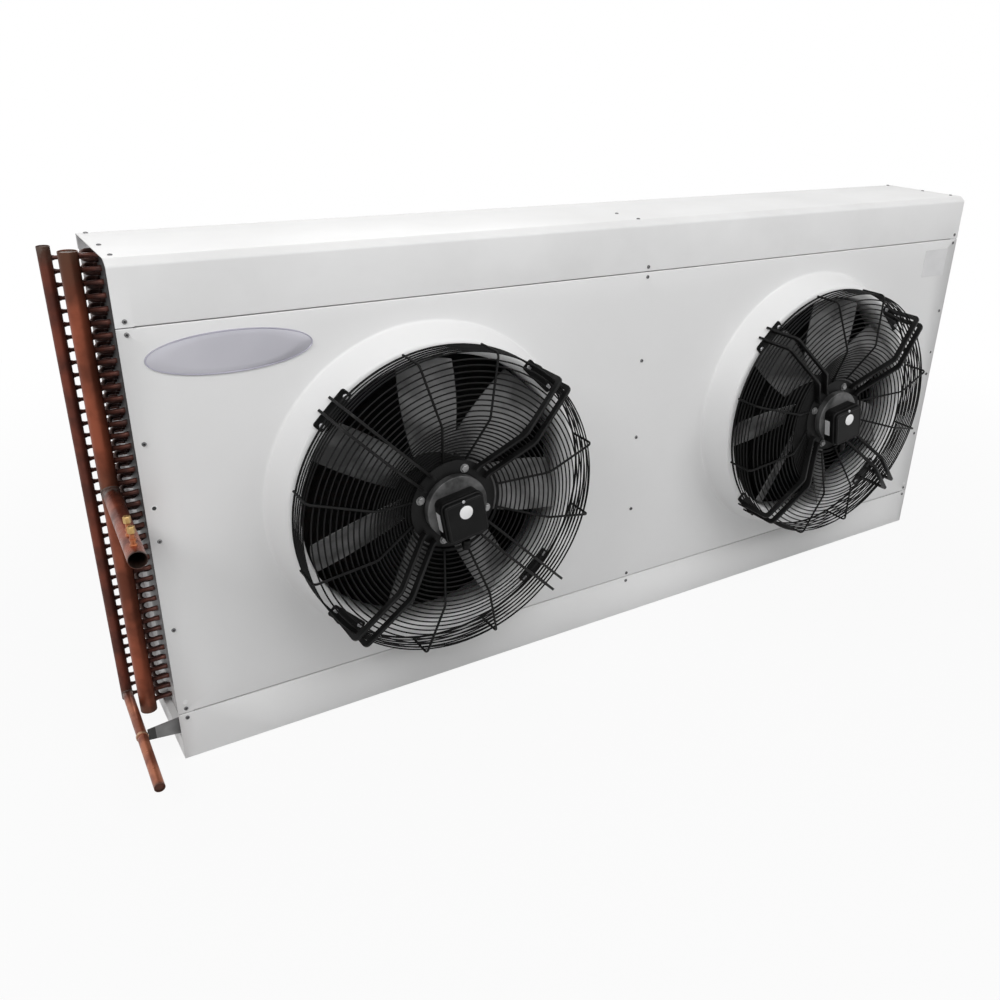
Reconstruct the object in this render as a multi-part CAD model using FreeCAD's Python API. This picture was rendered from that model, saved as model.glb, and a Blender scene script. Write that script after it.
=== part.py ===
import FreeCAD, Part
import math
import os

# Refrigeration condenser: a horizontal air-cooled coil in a sheet cabinet with two axial fans.
# Millimetres. +Z is up, the fans face -Y, and the origin is the centre of the cabinet's base.

# Cabinet
WIDTH = 2400.0
DEPTH = 284.0
HEIGHT = 1084.0
SHEET = 1.5
FRONT = -DEPTH / 2
BACK = DEPTH / 2
LEFT = -WIDTH / 2
RIGHT = WIDTH / 2
FOLD_BACK = 16.5
FOLD_DROP = 12.0
LOWER_SEAM = 118.0
UPPER_SEAM = HEIGHT - 122.0
SEAM_GAP = 1.0
SEAM_FLANGE = 14.0
REAR_LIP = 30.0
CORNER_RELIEF = 32.0
END_FLAP_HEIGHT = 50.0

# Coil
TUBE_DIAMETER = 9.52
LIQUID_STUB_DIAMETER = 8.0
TUBE_PITCH = 25.4
ROW_SPACING = 22.0
COIL_ROOM = 66.0
TUBES_PER_ROW = int((HEIGHT - COIL_ROOM) / TUBE_PITCH)
FIRST_ROW_DEPTH = 148.0
FIRST_ROW = FRONT + FIRST_ROW_DEPTH
TOP_TUBE_DROP = 17.8
TOP_TUBE = HEIGHT - TOP_TUBE_DROP
FIN_BORDER = 11.0
PLATE_INSET = 16.0
PLATE_STEP = 118.0
BEND_LEG = 14.0
TUBE_SIDES = 4
HAIRPIN_SIDES = 3
RETURN_STEPS = 2
HAIRPIN_STEPS = 2

# Pipework
GAS_HEADER_DIAMETER = 35.0
GAS_HEADER_X = LEFT - 36.5
GAS_HEADER_BOTTOM = 52.0
LIQUID_HEADER_DIAMETER = 24.0
LIQUID_HEADER_X = LEFT - 68.0
LIQUID_HEADER_BOTTOM = 55.0
HEADER_TOP = HEIGHT - 8.0
PIPE_WALL = 1.5
CAP_THICKNESS = 2.0
CAP_INSET = 3.0
GAS_PIPE_DIAMETER = 35.0
GAS_PIPE_HEIGHT = 595.0
GAS_PIPE_REACH = 178.0
GAS_PIPE_DRIFT = 15.5
LIQUID_PIPE_DIAMETER = 22.0
LIQUID_PIPE_HEIGHT = 70.0
LIQUID_PIPE_REACH = 150.0
LIQUID_PIPE_DRIFT = 11.0
VALVE_RADIUS = 5.0
VALVE_HEIGHT = 24.0
VALVE_CAP_RADIUS = 7.0
VALVE_CAP_HEIGHT = 14.0
VALVE_SETBACKS = (28.0, 73.0)
BRACKET_SETBACK = 30.0
BRACKET_THICKNESS = 3.0
BRACKET_FOOT = 40.0
BRACKET_TIP = 24.0
RUBBER_LENGTH = 15.0
CLIP_WIDTH = 6.0
CLIP_THICKNESS = 2.0

# Fans
FAN_SPACING = WIDTH / 2
FAN_DROP = 6.0
FAN_HEIGHT = (LOWER_SEAM + UPPER_SEAM) / 2 - FAN_DROP
NOZZLE_MARGIN = 47.0
NOZZLE_BASE_RADIUS = (UPPER_SEAM - LOWER_SEAM) / 2 - NOZZLE_MARGIN
NOZZLE_TAPER = 25.0
NOZZLE_CREST_RADIUS = NOZZLE_BASE_RADIUS - NOZZLE_TAPER
NOZZLE_SIDES = 48
NOZZLE_HEIGHT = 80.0
NOZZLE_LIP = 17.0
NOZZLE_SHOULDER = 8.0
NOZZLE_BACK = 10.0
TIP_SETBACK = 38.0
TIP_RADIUS = NOZZLE_CREST_RADIUS - TIP_SETBACK
TIP_GAP = 7.0
ROUND_SIDES = 24
BLADE_COUNT = 7
BLADE_THICKNESS = 3.0
BLADE_MIDDLE = 46.0
BLADE_PITCH = 30.0
BLADE_ROLL = 380.0
BLADE_STOPS = (-5.0, 6.5)
# Radius and width across of the blade's outline at its root, waist and tip
BLADE_ROOT = (85.0, 72.0)
BLADE_WAIST = (200.0, 102.0)
BLADE_TIP = (TIP_RADIUS + 13.0, 100.0)
ROTOR_RADIUS = 94.0
ROTOR_WALL = 4.0
ROTOR_FRONT = 112.0
ROTOR_BACK = 4.0
ROTOR_ROUND = 12.0
STATOR_RADIUS = 71.0
STATOR_FRONT = 150.0
STATOR_ROUND = 10.0
STATOR_FLANGE = 96.0
STATOR_FLANGE_THICKNESS = 8.0
CORE_RADIUS = 62.0
CORE_BACK = 22.0
SHAFT_RADIUS = 7.5
SHAFT_PLAY = 0.05
BEARING_RADIUS = 17.5
BEARING_WIDTH = 11.0
BEARING_SETBACK = 4.0
HUB_PLATE_RADIUS = 102.0
HUB_PLATE_FRONT = 130.0
HUB_PLATE_THICKNESS = 4.0
HUB_BOLT_CIRCLE = 84.0
HUB_BOLT_RADIUS = 7.0
HUB_BOLT_HEAD = 5.0
HUB_BOLT_ANGLES = (72.0, 162.0, 252.0, 342.0)

# Guard and mounting arms, as distances from the fan's axis and out from the front panel
GUARD_HUB = (110.0, 131.0)
GUARD_KINK = (215.0, 187.0)
GUARD_SETBACK = 4.0
GUARD_RIM = (NOZZLE_CREST_RADIUS - GUARD_SETBACK, 160.0)
GUARD_REAR = (GUARD_RIM[0], 92.0)
RING_SECTION = 2.6
WELD_BITE = 0.6
RING_SIDES = 24
FACE_RINGS = 5
SIDE_RINGS = 3
SPOKE_THICKNESS = 4.0
SPOKE_ANGLES = (15.0, 75.0, 105.0, 165.0, 195.0, 255.0, 285.0, 345.0)
ARM_SPACING = 33.0
ARM_THICKNESS = 5.0
ARM_DEPTH = 12.0
ARM_FOOT = (86.0, 100.0)
ARM_KINK = (215.0, 190.0)
ARM_CORNER_OUT = 168.0
ARM_CORNER_CUT = 6.0
ARM_TIP_OUT = 67.0
ARM_TIP_GAP = 2.0
ARM_TIP_WIDTH = 4.0
ARM_TIP_SLOPE = 10.0
ARM_ANGLES = (45.0, 135.0, 225.0, 315.0)
BRACKET_SEAT = 8.0
BRACKET_RADIUS = NOZZLE_CREST_RADIUS - BRACKET_SEAT
BRACKET_LENGTH = 96.0
BRACKET_WIDTH = 28.0
BRACKET_PLATE = 3.0
BRACKET_SCREW_ANGLE = 6.2
BRACKET_SCREW_RADIUS = 6.0
BRACKET_SCREW_HEAD = 3.5

# Terminal box, placed from the fan's axis
TERMINAL_WIDTH = 96.0
TERMINAL_HEIGHT = 112.0
TERMINAL_OFFSET_X = 6.0
TERMINAL_OFFSET_Z = -18.0
TERMINAL_FRONT = 196.0
TERMINAL_ROUND = 18.0
LID_DEPTH = 15.0
LID_BEVEL = 5.0
LID_OVERHANG = 1.0
CORNER_STEPS = 3
STICKER_RADIUS = 13.0
STICKER_OFFSET_X = -15.0
STICKER_OFFSET_Z = 19.0
STICKER_THICKNESS = 0.5
STICKER_SIDES = 20
GLAND_RADIUS = 10.0
GLAND_LENGTH = 18.0

# Plates and screws
BADGE_WIDTH = 318.0
BADGE_HEIGHT = 84.0
BADGE_THICKNESS = 3.0
BADGE_INSET = 198.0
BADGE_DROP = 65.0
BADGE_X = LEFT + BADGE_INSET
BADGE_Z = UPPER_SEAM - BADGE_DROP
RATING_WIDTH = 103.0
RATING_HEIGHT = 80.0
RATING_THICKNESS = 0.8
RATING_INSET = 88.5
RATING_DROP = 67.0
RATING_X = RIGHT - RATING_INSET
RATING_Z = UPPER_SEAM - RATING_DROP
SCREW_RADIUS = 5.0
SCREW_HEAD = 2.2
SCREW_EDGE = 17.0
SEAM_SCREW_OFFSET = 12.0
PANEL_SCREW_SPACING = 206.0
PANEL_SCREW_HEIGHTS = (FAN_HEIGHT - PANEL_SCREW_SPACING, FAN_HEIGHT,
                       FAN_HEIGHT + PANEL_SCREW_SPACING)
TOP_SCREW_DEPTHS = (40.0, 142.0, 276.0)
MIDDLE_SCREW_DEPTHS = (22.0, 108.0)
BASE_HOLE_RADIUS = 6.0
BASE_HOLE_INSET_X = 100.0
BASE_HOLE_INSET_Y = 32.0
BASE_HOLE_SPACING_X = WIDTH - 2 * BASE_HOLE_INSET_X
BASE_HOLE_SPACING_Y = DEPTH - 2 * BASE_HOLE_INSET_Y
PARTITION_FLANGE = 30.0
TOP_FLANGE = 60.0
SEAM_NOTCH = 1.0
FIN_TOP_GAP = 2.0

UP = FreeCAD.Vector(0, 0, 1)
BACKWARD = FreeCAD.Vector(0, 1, 0)
RIGHTWARD = FreeCAD.Vector(1, 0, 0)

FIN_FRONT = FIRST_ROW - FIN_BORDER
FIN_BACK = FIRST_ROW + 3 * ROW_SPACING + FIN_BORDER
PLATE_X = WIDTH / 2 - PLATE_INSET
TUBE_RADIUS = TUBE_DIAMETER / 2


def vec(x, y, z):
    return FreeCAD.Vector(x, y, z)


def box(x0, x1, y0, y1, z0, z1):
    """Block between two corners."""
    return Part.makeBox(x1 - x0, y1 - y0, z1 - z0, vec(x0, y0, z0))


def rod(start, end, radius):
    """Round bar between two points."""
    way = end - start
    return Part.makeCylinder(radius, way.Length, start, way)


def hollow(start, end, radius, wall):
    """Round tube between two points."""
    return rod(start, end, radius).cut(rod(start, end, radius - wall))


def prism(points, way):
    """Polygon pushed along a vector."""
    return Part.Face(Part.makePolygon(points + points[:1])).extrude(way)


def flat_bar(centre, radius, sides, way):
    """Low-faced round bar standing on a point."""
    across = way.cross(RIGHTWARD if abs(way.x) < abs(way.Length) / 2 else UP).normalize() * radius
    turn = FreeCAD.Rotation(way, 360.0 / sides)
    points = []
    for _ in range(sides):
        points.append(centre + across)
        across = turn.multVec(across)
    return prism(points, way)


def skin(rings, looped=False):
    """Solid of flat faces through rings of corners, capped at both ends or looped back to the first."""
    pairs = list(zip(rings, rings[1:]))
    faces = []
    if looped:
        pairs.append((rings[-1], rings[0]))
    else:
        for ring in (rings[0], rings[-1]):
            faces.append(Part.Face(Part.makePolygon(ring + ring[:1])))
    for first, second in pairs:
        for k in range(len(first)):
            n = (k + 1) % len(first)
            corners = [first[k], first[n], second[n], second[k], first[k]]
            faces.append(Part.Face(Part.makePolygon(corners)))
    solid = Part.Solid(Part.Shell(faces))
    solid.fixTolerance(1e-6)
    return solid if solid.Volume > 0 else solid.reversed()


def sheet_outline(path, thickness):
    """Outline of a bent sheet whose thickness lies to the left of its path."""
    inner = []
    last = len(path) - 1
    for i, (a, b) in enumerate(path):
        sides = []
        for j in (i - 1, i):
            if 0 <= j < last:
                da = path[j + 1][0] - path[j][0]
                db = path[j + 1][1] - path[j][1]
                length = math.hypot(da, db)
                sides.append((-db / length, da / length))
        na = sum(side[0] for side in sides)
        nb = sum(side[1] for side in sides)
        scale = thickness * len(sides) / (na * na + nb * nb)
        inner.append((a + na * scale, b + nb * scale))
    return list(path) + inner[::-1]


def folded_across(path, x0, x1):
    """Sheet bent along X: its path is in Y and Z."""
    outline = sheet_outline(path, SHEET)
    return prism([vec(x0, y, z) for y, z in outline], vec(x1 - x0, 0, 0))


def folded_upright(path, z0, z1):
    """Sheet bent about upright folds: its path is in X and Y."""
    outline = sheet_outline(path, SHEET)
    return prism([vec(x, y, z0) for x, y in outline], vec(0, 0, z1 - z0))


def mirrored(shape):
    return shape.mirror(vec(0, 0, 0), RIGHTWARD)


def tube_height(row, number):
    """Height of one tube: rows two and four sit half a pitch lower."""
    return TOP_TUBE - TUBE_PITCH * number - (TUBE_PITCH / 2 if row in (1, 3) else 0.0)


def row_depth(row):
    return FIRST_ROW + ROW_SPACING * row


# Cabinet

HOOD_PATH = [(BACK, HEIGHT - REAR_LIP), (BACK, HEIGHT), (FRONT + FOLD_BACK, HEIGHT),
             (FRONT, HEIGHT - FOLD_DROP), (FRONT, UPPER_SEAM + SEAM_GAP),
             (FRONT + SEAM_FLANGE, UPPER_SEAM + SEAM_GAP)]


def top_hood():
    hood = folded_across(HOOD_PATH, LEFT, RIGHT)
    return relieved(hood, UPPER_SEAM + SEAM_GAP)


def under_hood(sheet):
    """Trim an upright sheet to the hood's front fold."""
    inner = sheet_outline(HOOD_PATH, SHEET)[len(HOOD_PATH):][::-1]
    outline = [vec(LEFT, y, z) for y, z in (inner[2], inner[3], (FRONT, inner[3][1]), (FRONT, HEIGHT),
                                            (inner[2][0], HEIGHT))]
    return sheet.cut(prism(outline, vec(WIDTH, 0, 0)))


def relieved(panel, low):
    """Cut the seam flange short at both ends, clear of the upright flanges behind it."""
    for x0 in (LEFT, RIGHT - CORNER_RELIEF):
        notch = box(x0, x0 + CORNER_RELIEF, FRONT + SHEET, FRONT + SEAM_FLANGE, low, low + SHEET)
        panel = panel.cut(notch)
    return panel


def nozzle_profile(grow):
    """Radius and distance out of the nozzle's skin, from its base over the crest into the throat."""
    crest = NOZZLE_HEIGHT - grow
    throat = TIP_RADIUS + TIP_GAP + grow
    shoulder = NOZZLE_SHOULDER - grow
    return [(NOZZLE_BASE_RADIUS - grow, 0.0),
            (NOZZLE_CREST_RADIUS + shoulder / 2, crest - shoulder),
            (NOZZLE_CREST_RADIUS - shoulder / 2, crest),
            (throat + NOZZLE_LIP - grow, crest),
            (throat, crest - NOZZLE_LIP + grow),
            (throat, -NOZZLE_BACK)]


def nozzle(x):
    """Pressed collar with a flared throat, turned about the fan's axis."""
    return turned(x, nozzle_profile(0.0) + nozzle_profile(SHEET)[::-1], NOZZLE_SIDES, looped=True)


def fan_panel():
    low = LOWER_SEAM + SEAM_GAP
    path = [(FRONT + SEAM_FLANGE, UPPER_SEAM - SEAM_GAP), (FRONT, UPPER_SEAM - SEAM_GAP),
            (FRONT, low), (FRONT + SEAM_FLANGE, low)]
    panel = folded_across(path, LEFT, RIGHT)
    panel = relieved(panel, UPPER_SEAM - SEAM_GAP - SHEET)
    panel = relieved(panel, low)
    for x in fan_places():
        hole = fan_ring(x, NOZZLE_BASE_RADIUS - SHEET, SHEET, NOZZLE_SIDES)
        panel = panel.cut(prism(hole, BACKWARD * 4 * SHEET))
        panel = panel.fuse(nozzle(x))
    return panel


def bottom_panel():
    top = LOWER_SEAM - SEAM_GAP
    path = [(FRONT + SEAM_FLANGE, top), (FRONT, top), (FRONT, 0.0), (BACK, 0.0), (BACK, END_FLAP_HEIGHT)]
    panel = folded_across(path, LEFT, RIGHT)
    panel = relieved(panel, top - SHEET)
    for x0 in (LEFT, RIGHT - SHEET):
        panel = panel.fuse(box(x0, x0 + SHEET, FRONT + SHEET, BACK - SHEET, SHEET, END_FLAP_HEIGHT))
    for x in (-BASE_HOLE_SPACING_X / 2, BASE_HOLE_SPACING_X / 2):
        for y in (-BASE_HOLE_SPACING_Y / 2, BASE_HOLE_SPACING_Y / 2):
            panel = panel.cut(Part.makeCylinder(BASE_HOLE_RADIUS, SHEET, vec(x, y, 0)))
    return panel


def centre_partition():
    """Upright sheet between the two fans, with flanges behind the front panel and under the top."""
    face = FRONT + SHEET
    high = HEIGHT - SHEET
    web_x = PARTITION_FLANGE / 2
    path = [(web_x, FIN_FRONT), (web_x, face), (web_x - PARTITION_FLANGE, face)]
    sheet = folded_upright(path[::-1], SHEET, high)
    sheet = sheet.fuse(box(web_x - TOP_FLANGE, web_x, face, FIN_FRONT, high - SHEET, high))
    for seam in (LOWER_SEAM, UPPER_SEAM):
        tall = SEAM_GAP + SHEET + SEAM_NOTCH
        sheet = sheet.cut(box(-TOP_FLANGE, TOP_FLANGE, FRONT, FRONT + SEAM_FLANGE + SEAM_NOTCH,
                              seam - tall, seam + tall))
    return under_hood(sheet)


def left_tube_plate():
    """Joggled end plate: a flange behind the front panel, then the web that carries the tubes."""
    face = FRONT + SHEET
    edge = LEFT + SHEET
    step = FRONT + PLATE_STEP
    web = LEFT + PLATE_INSET + SHEET
    deep = LEFT + CORNER_RELIEF
    rear = BACK - SHEET
    path = [(edge, face), (deep, face), (deep, step), (web, step), (web, rear), (edge, rear)]
    return under_hood(folded_upright(path, SHEET, HEIGHT - SHEET))


# Coil

def fin_block():
    """Fin stack expanded onto its tubes, one solid from plate to plate."""
    end = PLATE_X - SHEET
    bottom = tube_height(3, TUBES_PER_ROW - 1) - TUBE_PITCH / 2
    return box(-end, end, FIN_FRONT, FIN_BACK, bottom, HEIGHT - SHEET - FIN_TOP_GAP)


def tube_sections(path, radius, sides):
    """Polygon sections square to a path that lies in one plane through X."""
    sections = []
    for point, along, aside in path:
        wire = []
        for k in range(sides):
            angle = 2 * math.pi * (k + 0.5) / sides
            wire.append(point + along.cross(aside) * (radius * math.cos(angle))
                        + aside * (radius * math.sin(angle)))
        sections.append(wire)
    return sections


def return_bend(start, end, outward, sides, steps):
    """U-bend between two tube ends, standing out of the plate along outward."""
    middle = (start + end) * 0.5
    reach = (start - end) * 0.5
    radius = reach.Length
    normal = reach.normalize()
    across = outward.cross(normal)
    path = [(start, outward, across)]
    for i in range(steps + 1):
        angle = math.pi * i / steps
        point = middle + outward * (BEND_LEG + radius * math.sin(angle)) + normal * (radius * math.cos(angle))
        along = outward * math.cos(angle) - normal * math.sin(angle)
        path.append((point, along, across))
    path.append((end, outward * -1, across))
    return skin(tube_sections(path, TUBE_RADIUS, sides))


def bends(x, outward, first_row, sides, steps):
    """One bend per tube between two rows, the rear tube half a pitch away."""
    solids = []
    for number in range(TUBES_PER_ROW):
        start = vec(x, row_depth(first_row), tube_height(first_row, number))
        end = vec(x, row_depth(first_row + 1), tube_height(first_row + 1, number))
        solids.append(return_bend(start, end, outward, sides, steps))
    return solids


def left_return_bends():
    x = LEFT + PLATE_INSET
    return Part.makeCompound(bends(x, RIGHTWARD * -1, 1, TUBE_SIDES, RETURN_STEPS))


def right_hairpin_bends():
    x = RIGHT - PLATE_INSET
    solids = []
    for row in (0, 2):
        solids.extend(bends(x, RIGHTWARD, row, HAIRPIN_SIDES, HAIRPIN_STEPS))
    return Part.makeCompound(solids)


def stub_tubes(row, header_x, header_radius, radius):
    """Straight tubes from the left plate to a header, each ending on the header's wall."""
    start_x = LEFT + PLATE_INSET
    end_x = header_x + header_radius
    solids = []
    for number in range(TUBES_PER_ROW):
        start = vec(start_x, row_depth(row), tube_height(row, number))
        solids.append(flat_bar(start, radius, TUBE_SIDES, vec(end_x - start_x, 0, 0)))
    return Part.makeCompound(solids)


def gas_stub_tubes():
    return stub_tubes(0, GAS_HEADER_X, GAS_HEADER_DIAMETER / 2, TUBE_RADIUS)


def liquid_stub_tubes():
    return stub_tubes(3, LIQUID_HEADER_X, LIQUID_HEADER_DIAMETER / 2, LIQUID_STUB_DIAMETER / 2)


# Pipework

def header(x, y, diameter, bottom):
    return hollow(vec(x, y, bottom), vec(x, y, HEADER_TOP), diameter / 2, PIPE_WALL)


def header_caps(x, y, diameter, bottom):
    """Discs brazed just inside both ends of a header."""
    radius = diameter / 2 - PIPE_WALL
    discs = []
    for z in (bottom + CAP_INSET, HEADER_TOP - CAP_INSET - CAP_THICKNESS):
        discs.append(Part.makeCylinder(radius, CAP_THICKNESS, vec(x, y, z)))
    return Part.makeCompound(discs)


def gas_header():
    return header(GAS_HEADER_X, row_depth(0), GAS_HEADER_DIAMETER, GAS_HEADER_BOTTOM)


def gas_header_caps():
    return header_caps(GAS_HEADER_X, row_depth(0), GAS_HEADER_DIAMETER, GAS_HEADER_BOTTOM)


def liquid_header():
    return header(LIQUID_HEADER_X, row_depth(3), LIQUID_HEADER_DIAMETER, LIQUID_HEADER_BOTTOM)


def liquid_header_caps():
    return header_caps(LIQUID_HEADER_X, row_depth(3), LIQUID_HEADER_DIAMETER, LIQUID_HEADER_BOTTOM)


def gas_pipe_point(reach):
    """Point on the gas pipe's axis, a distance out from the front panel."""
    share = (reach + FIRST_ROW - FRONT) / (GAS_PIPE_REACH + FIRST_ROW - FRONT)
    return vec(GAS_HEADER_X - GAS_PIPE_DRIFT * share, FRONT - reach, GAS_PIPE_HEIGHT)


def liquid_pipe_point(reach):
    """Point on the liquid pipe's axis, a distance out from the front panel."""
    share = (reach + row_depth(3) - FRONT) / (LIQUID_PIPE_REACH + row_depth(3) - FRONT)
    return vec(LIQUID_HEADER_X - LIQUID_PIPE_DRIFT * share, FRONT - reach, LIQUID_PIPE_HEIGHT)


def gas_inlet_pipe():
    """Open pipe brazed to the gas header, its rear end shaped to the header's wall."""
    start = gas_pipe_point(FRONT - FIRST_ROW)
    pipe = hollow(start, gas_pipe_point(GAS_PIPE_REACH), GAS_PIPE_DIAMETER / 2, PIPE_WALL)
    low = GAS_PIPE_HEIGHT - GAS_PIPE_DIAMETER
    header_body = Part.makeCylinder(GAS_HEADER_DIAMETER / 2, 2 * GAS_PIPE_DIAMETER,
                                    vec(GAS_HEADER_X, FIRST_ROW, low))
    return biggest(pipe.cut(header_body))


def liquid_outlet_pipe():
    """Pipe from the foot of the liquid header, closed by a disc just inside its end."""
    start = liquid_pipe_point(FRONT - row_depth(3))
    end = liquid_pipe_point(LIQUID_PIPE_REACH)
    pipe = hollow(start, end, LIQUID_PIPE_DIAMETER / 2, PIPE_WALL)
    disc = rod(liquid_pipe_point(LIQUID_PIPE_REACH - CAP_INSET - CAP_THICKNESS),
               liquid_pipe_point(LIQUID_PIPE_REACH - CAP_INSET), LIQUID_PIPE_DIAMETER / 2 - PIPE_WALL / 2)
    low = LIQUID_PIPE_HEIGHT - LIQUID_PIPE_DIAMETER
    header_body = Part.makeCylinder(LIQUID_HEADER_DIAMETER / 2, 2 * LIQUID_PIPE_DIAMETER,
                                    vec(LIQUID_HEADER_X, row_depth(3), low))
    return biggest(pipe.fuse(disc).cut(header_body))


def biggest(shape):
    """Largest solid of a cut, without the offcut on the far side of a header."""
    return max(shape.Solids, key=lambda solid: solid.Volume)


def access_valves():
    """Valve bodies standing on top of the gas pipe, shaped to its wall."""
    bodies = []
    pipe = rod(gas_pipe_point(0.0), gas_pipe_point(GAS_PIPE_REACH), GAS_PIPE_DIAMETER / 2)
    for setback in VALVE_SETBACKS:
        foot = gas_pipe_point(GAS_PIPE_REACH - setback)
        top = GAS_PIPE_DIAMETER / 2 + VALVE_HEIGHT
        bodies.append(Part.makeCylinder(VALVE_RADIUS, top, foot).cut(pipe))
    return Part.makeCompound(bodies)


def access_valve_caps():
    """Six-sided caps on the valves."""
    caps = []
    for setback in VALVE_SETBACKS:
        foot = gas_pipe_point(GAS_PIPE_REACH - setback) + UP * (GAS_PIPE_DIAMETER / 2 + VALVE_HEIGHT)
        caps.append(flat_bar(foot, VALVE_CAP_RADIUS, 6, UP * VALVE_CAP_HEIGHT))
    return Part.makeCompound(caps)


def clip_reach():
    """How far in front of the panel the pipe clip sits: it is behind it, so this is negative."""
    return -BRACKET_SETBACK


def bracket_outline(x0, x1):
    """Corners of the tapered plate between two distances left of the cabinet."""
    far = abs(liquid_pipe_point(clip_reach()).x - LEFT)

    def half(distance):
        return (BRACKET_FOOT + (BRACKET_TIP - BRACKET_FOOT) * distance / far) / 2

    y = FRONT + BRACKET_SETBACK
    z = LIQUID_PIPE_HEIGHT
    return [vec(LEFT - x0, y, z - half(x0)), vec(LEFT - x1, y, z - half(x1)),
            vec(LEFT - x1, y, z + half(x1)), vec(LEFT - x0, y, z + half(x0))]


def bracket_reach():
    """Distance from the cabinet to the clip's outer face."""
    clip = LIQUID_PIPE_DIAMETER / 2 + CLIP_THICKNESS
    return LEFT - liquid_pipe_point(clip_reach()).x - clip


def pipe_bracket():
    """Tapered upright plate from the end plate's flange towards the liquid pipe."""
    outline = bracket_outline(SHEET - CORNER_RELIEF, bracket_reach() - RUBBER_LENGTH)
    plate = prism(outline, BACKWARD * BRACKET_THICKNESS)
    return plate


def bracket_rubber():
    """Rubber end of the bracket that meets the pipe clip."""
    return prism(bracket_outline(bracket_reach() - RUBBER_LENGTH, bracket_reach() + CLIP_THICKNESS / 2),
                 BACKWARD * BRACKET_THICKNESS).cut(clip_body())


def clip_body():
    start = liquid_pipe_point(clip_reach() + CLIP_WIDTH / 2)
    end = liquid_pipe_point(clip_reach() - CLIP_WIDTH / 2 - BRACKET_THICKNESS)
    return rod(start, end, LIQUID_PIPE_DIAMETER / 2 + CLIP_THICKNESS)


def pipe_clip():
    """Ring round the liquid pipe at the bracket."""
    pipe = rod(liquid_pipe_point(clip_reach() + 4 * CLIP_WIDTH), liquid_pipe_point(clip_reach() - 4 * CLIP_WIDTH),
               LIQUID_PIPE_DIAMETER / 2)
    return clip_body().cut(pipe)


# Plates and screws

def badge_plate():
    """Bare oval plate with a bevelled rim."""
    start = vec(BADGE_X, FRONT, BADGE_Z)
    across = RIGHTWARD * (BADGE_WIDTH / 2)
    rise = UP * (BADGE_HEIGHT / 2)
    oval = Part.Ellipse(start + across, start + rise, start).toShape()
    plate = Part.Face(Part.Wire(oval)).extrude(BACKWARD * -BADGE_THICKNESS)
    return plate


def rating_plate():
    return box(RATING_X - RATING_WIDTH / 2, RATING_X + RATING_WIDTH / 2, FRONT - RATING_THICKNESS, FRONT,
               RATING_Z - RATING_HEIGHT / 2, RATING_Z + RATING_HEIGHT / 2)


def front_screws():
    """Pan heads in three columns: on the panels' flanges and either side of each seam."""
    heights = list(PANEL_SCREW_HEIGHTS)
    for seam in (LOWER_SEAM, UPPER_SEAM):
        heights = heights + [seam - SEAM_SCREW_OFFSET, seam + SEAM_SCREW_OFFSET]
    heads = []
    for x in (LEFT + SCREW_EDGE, 0.0, RIGHT - SCREW_EDGE):
        for z in heights:
            heads.append(flat_bar(vec(x, FRONT, z), SCREW_RADIUS, 6, BACKWARD * -SCREW_HEAD))
    return Part.makeCompound(heads)


def top_screws():
    places = []
    for depth in TOP_SCREW_DEPTHS:
        places = places + [(LEFT + SCREW_EDGE, depth), (RIGHT - SCREW_EDGE, depth)]
    for depth in MIDDLE_SCREW_DEPTHS:
        places.append(((PARTITION_FLANGE - TOP_FLANGE) / 2 - SCREW_EDGE / 2, depth))
    heads = []
    for x, depth in places:
        heads.append(flat_bar(vec(x, FRONT + depth, HEIGHT), SCREW_RADIUS, 6, UP * SCREW_HEAD))
    return Part.makeCompound(heads)


# Fans

def fan_places():
    return (-FAN_SPACING / 2, FAN_SPACING / 2)


def at_fan(x, out):
    """Point on a fan's axis, a distance out from the front panel."""
    return vec(x, FRONT - out, FAN_HEIGHT)


def polar(x, radius, degrees, out):
    angle = math.radians(degrees)
    return vec(x + radius * math.cos(angle), FRONT - out, FAN_HEIGHT + radius * math.sin(angle))


def fan_ring(x, radius, out, sides):
    """Even ring of corners round a fan's axis."""
    return [polar(x, radius, 360.0 * k / sides, out) for k in range(sides)]


def turned(x, outline, sides, looped=False):
    """Many-sided solid round a fan's axis, from the radius and distance out of its outline."""
    return skin([fan_ring(x, radius, out, sides) for radius, out in outline], looped)


def blade_edge(side):
    """Left or right edge of the blade that points up, as an arc through three stations."""
    points = []
    for radius, width in (BLADE_ROOT, BLADE_WAIST, BLADE_TIP):
        points.append(vec(side * width / 2, -NOZZLE_HEIGHT - BLADE_MIDDLE, radius))
    return points, Part.Arc(*points).toShape()


def blade():
    """Rolled plate pitched with its right edge forward, trimmed to its outline, the rotor and the tip circle."""
    pitch = math.radians(BLADE_PITCH)
    centre = vec(-BLADE_ROLL * math.sin(pitch), -BLADE_MIDDLE - BLADE_ROLL * math.cos(pitch), 0)
    plate = Part.makeCylinder(BLADE_ROLL + BLADE_THICKNESS, 2 * TIP_RADIUS, centre)
    plate = plate.cut(Part.makeCylinder(BLADE_ROLL, 2 * TIP_RADIUS, centre))
    right, right_arc = blade_edge(1)
    left, left_arc = blade_edge(-1)
    outline = Part.Wire([Part.makeLine(left[0], right[0]), right_arc, Part.makeLine(right[2], left[2]), left_arc])
    depth = 2 * (NOZZLE_HEIGHT + BLADE_MIDDLE)
    plate = plate.common(Part.Face(outline).extrude(BACKWARD * depth))
    sweep = Part.makeCylinder(TIP_RADIUS, depth, vec(0, -depth / 2, 0), BACKWARD)
    sweep = sweep.cut(Part.makeCylinder(ROTOR_RADIUS, depth, vec(0, -depth / 2, 0), BACKWARD))
    return plate.common(sweep).Solids[0]


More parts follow.
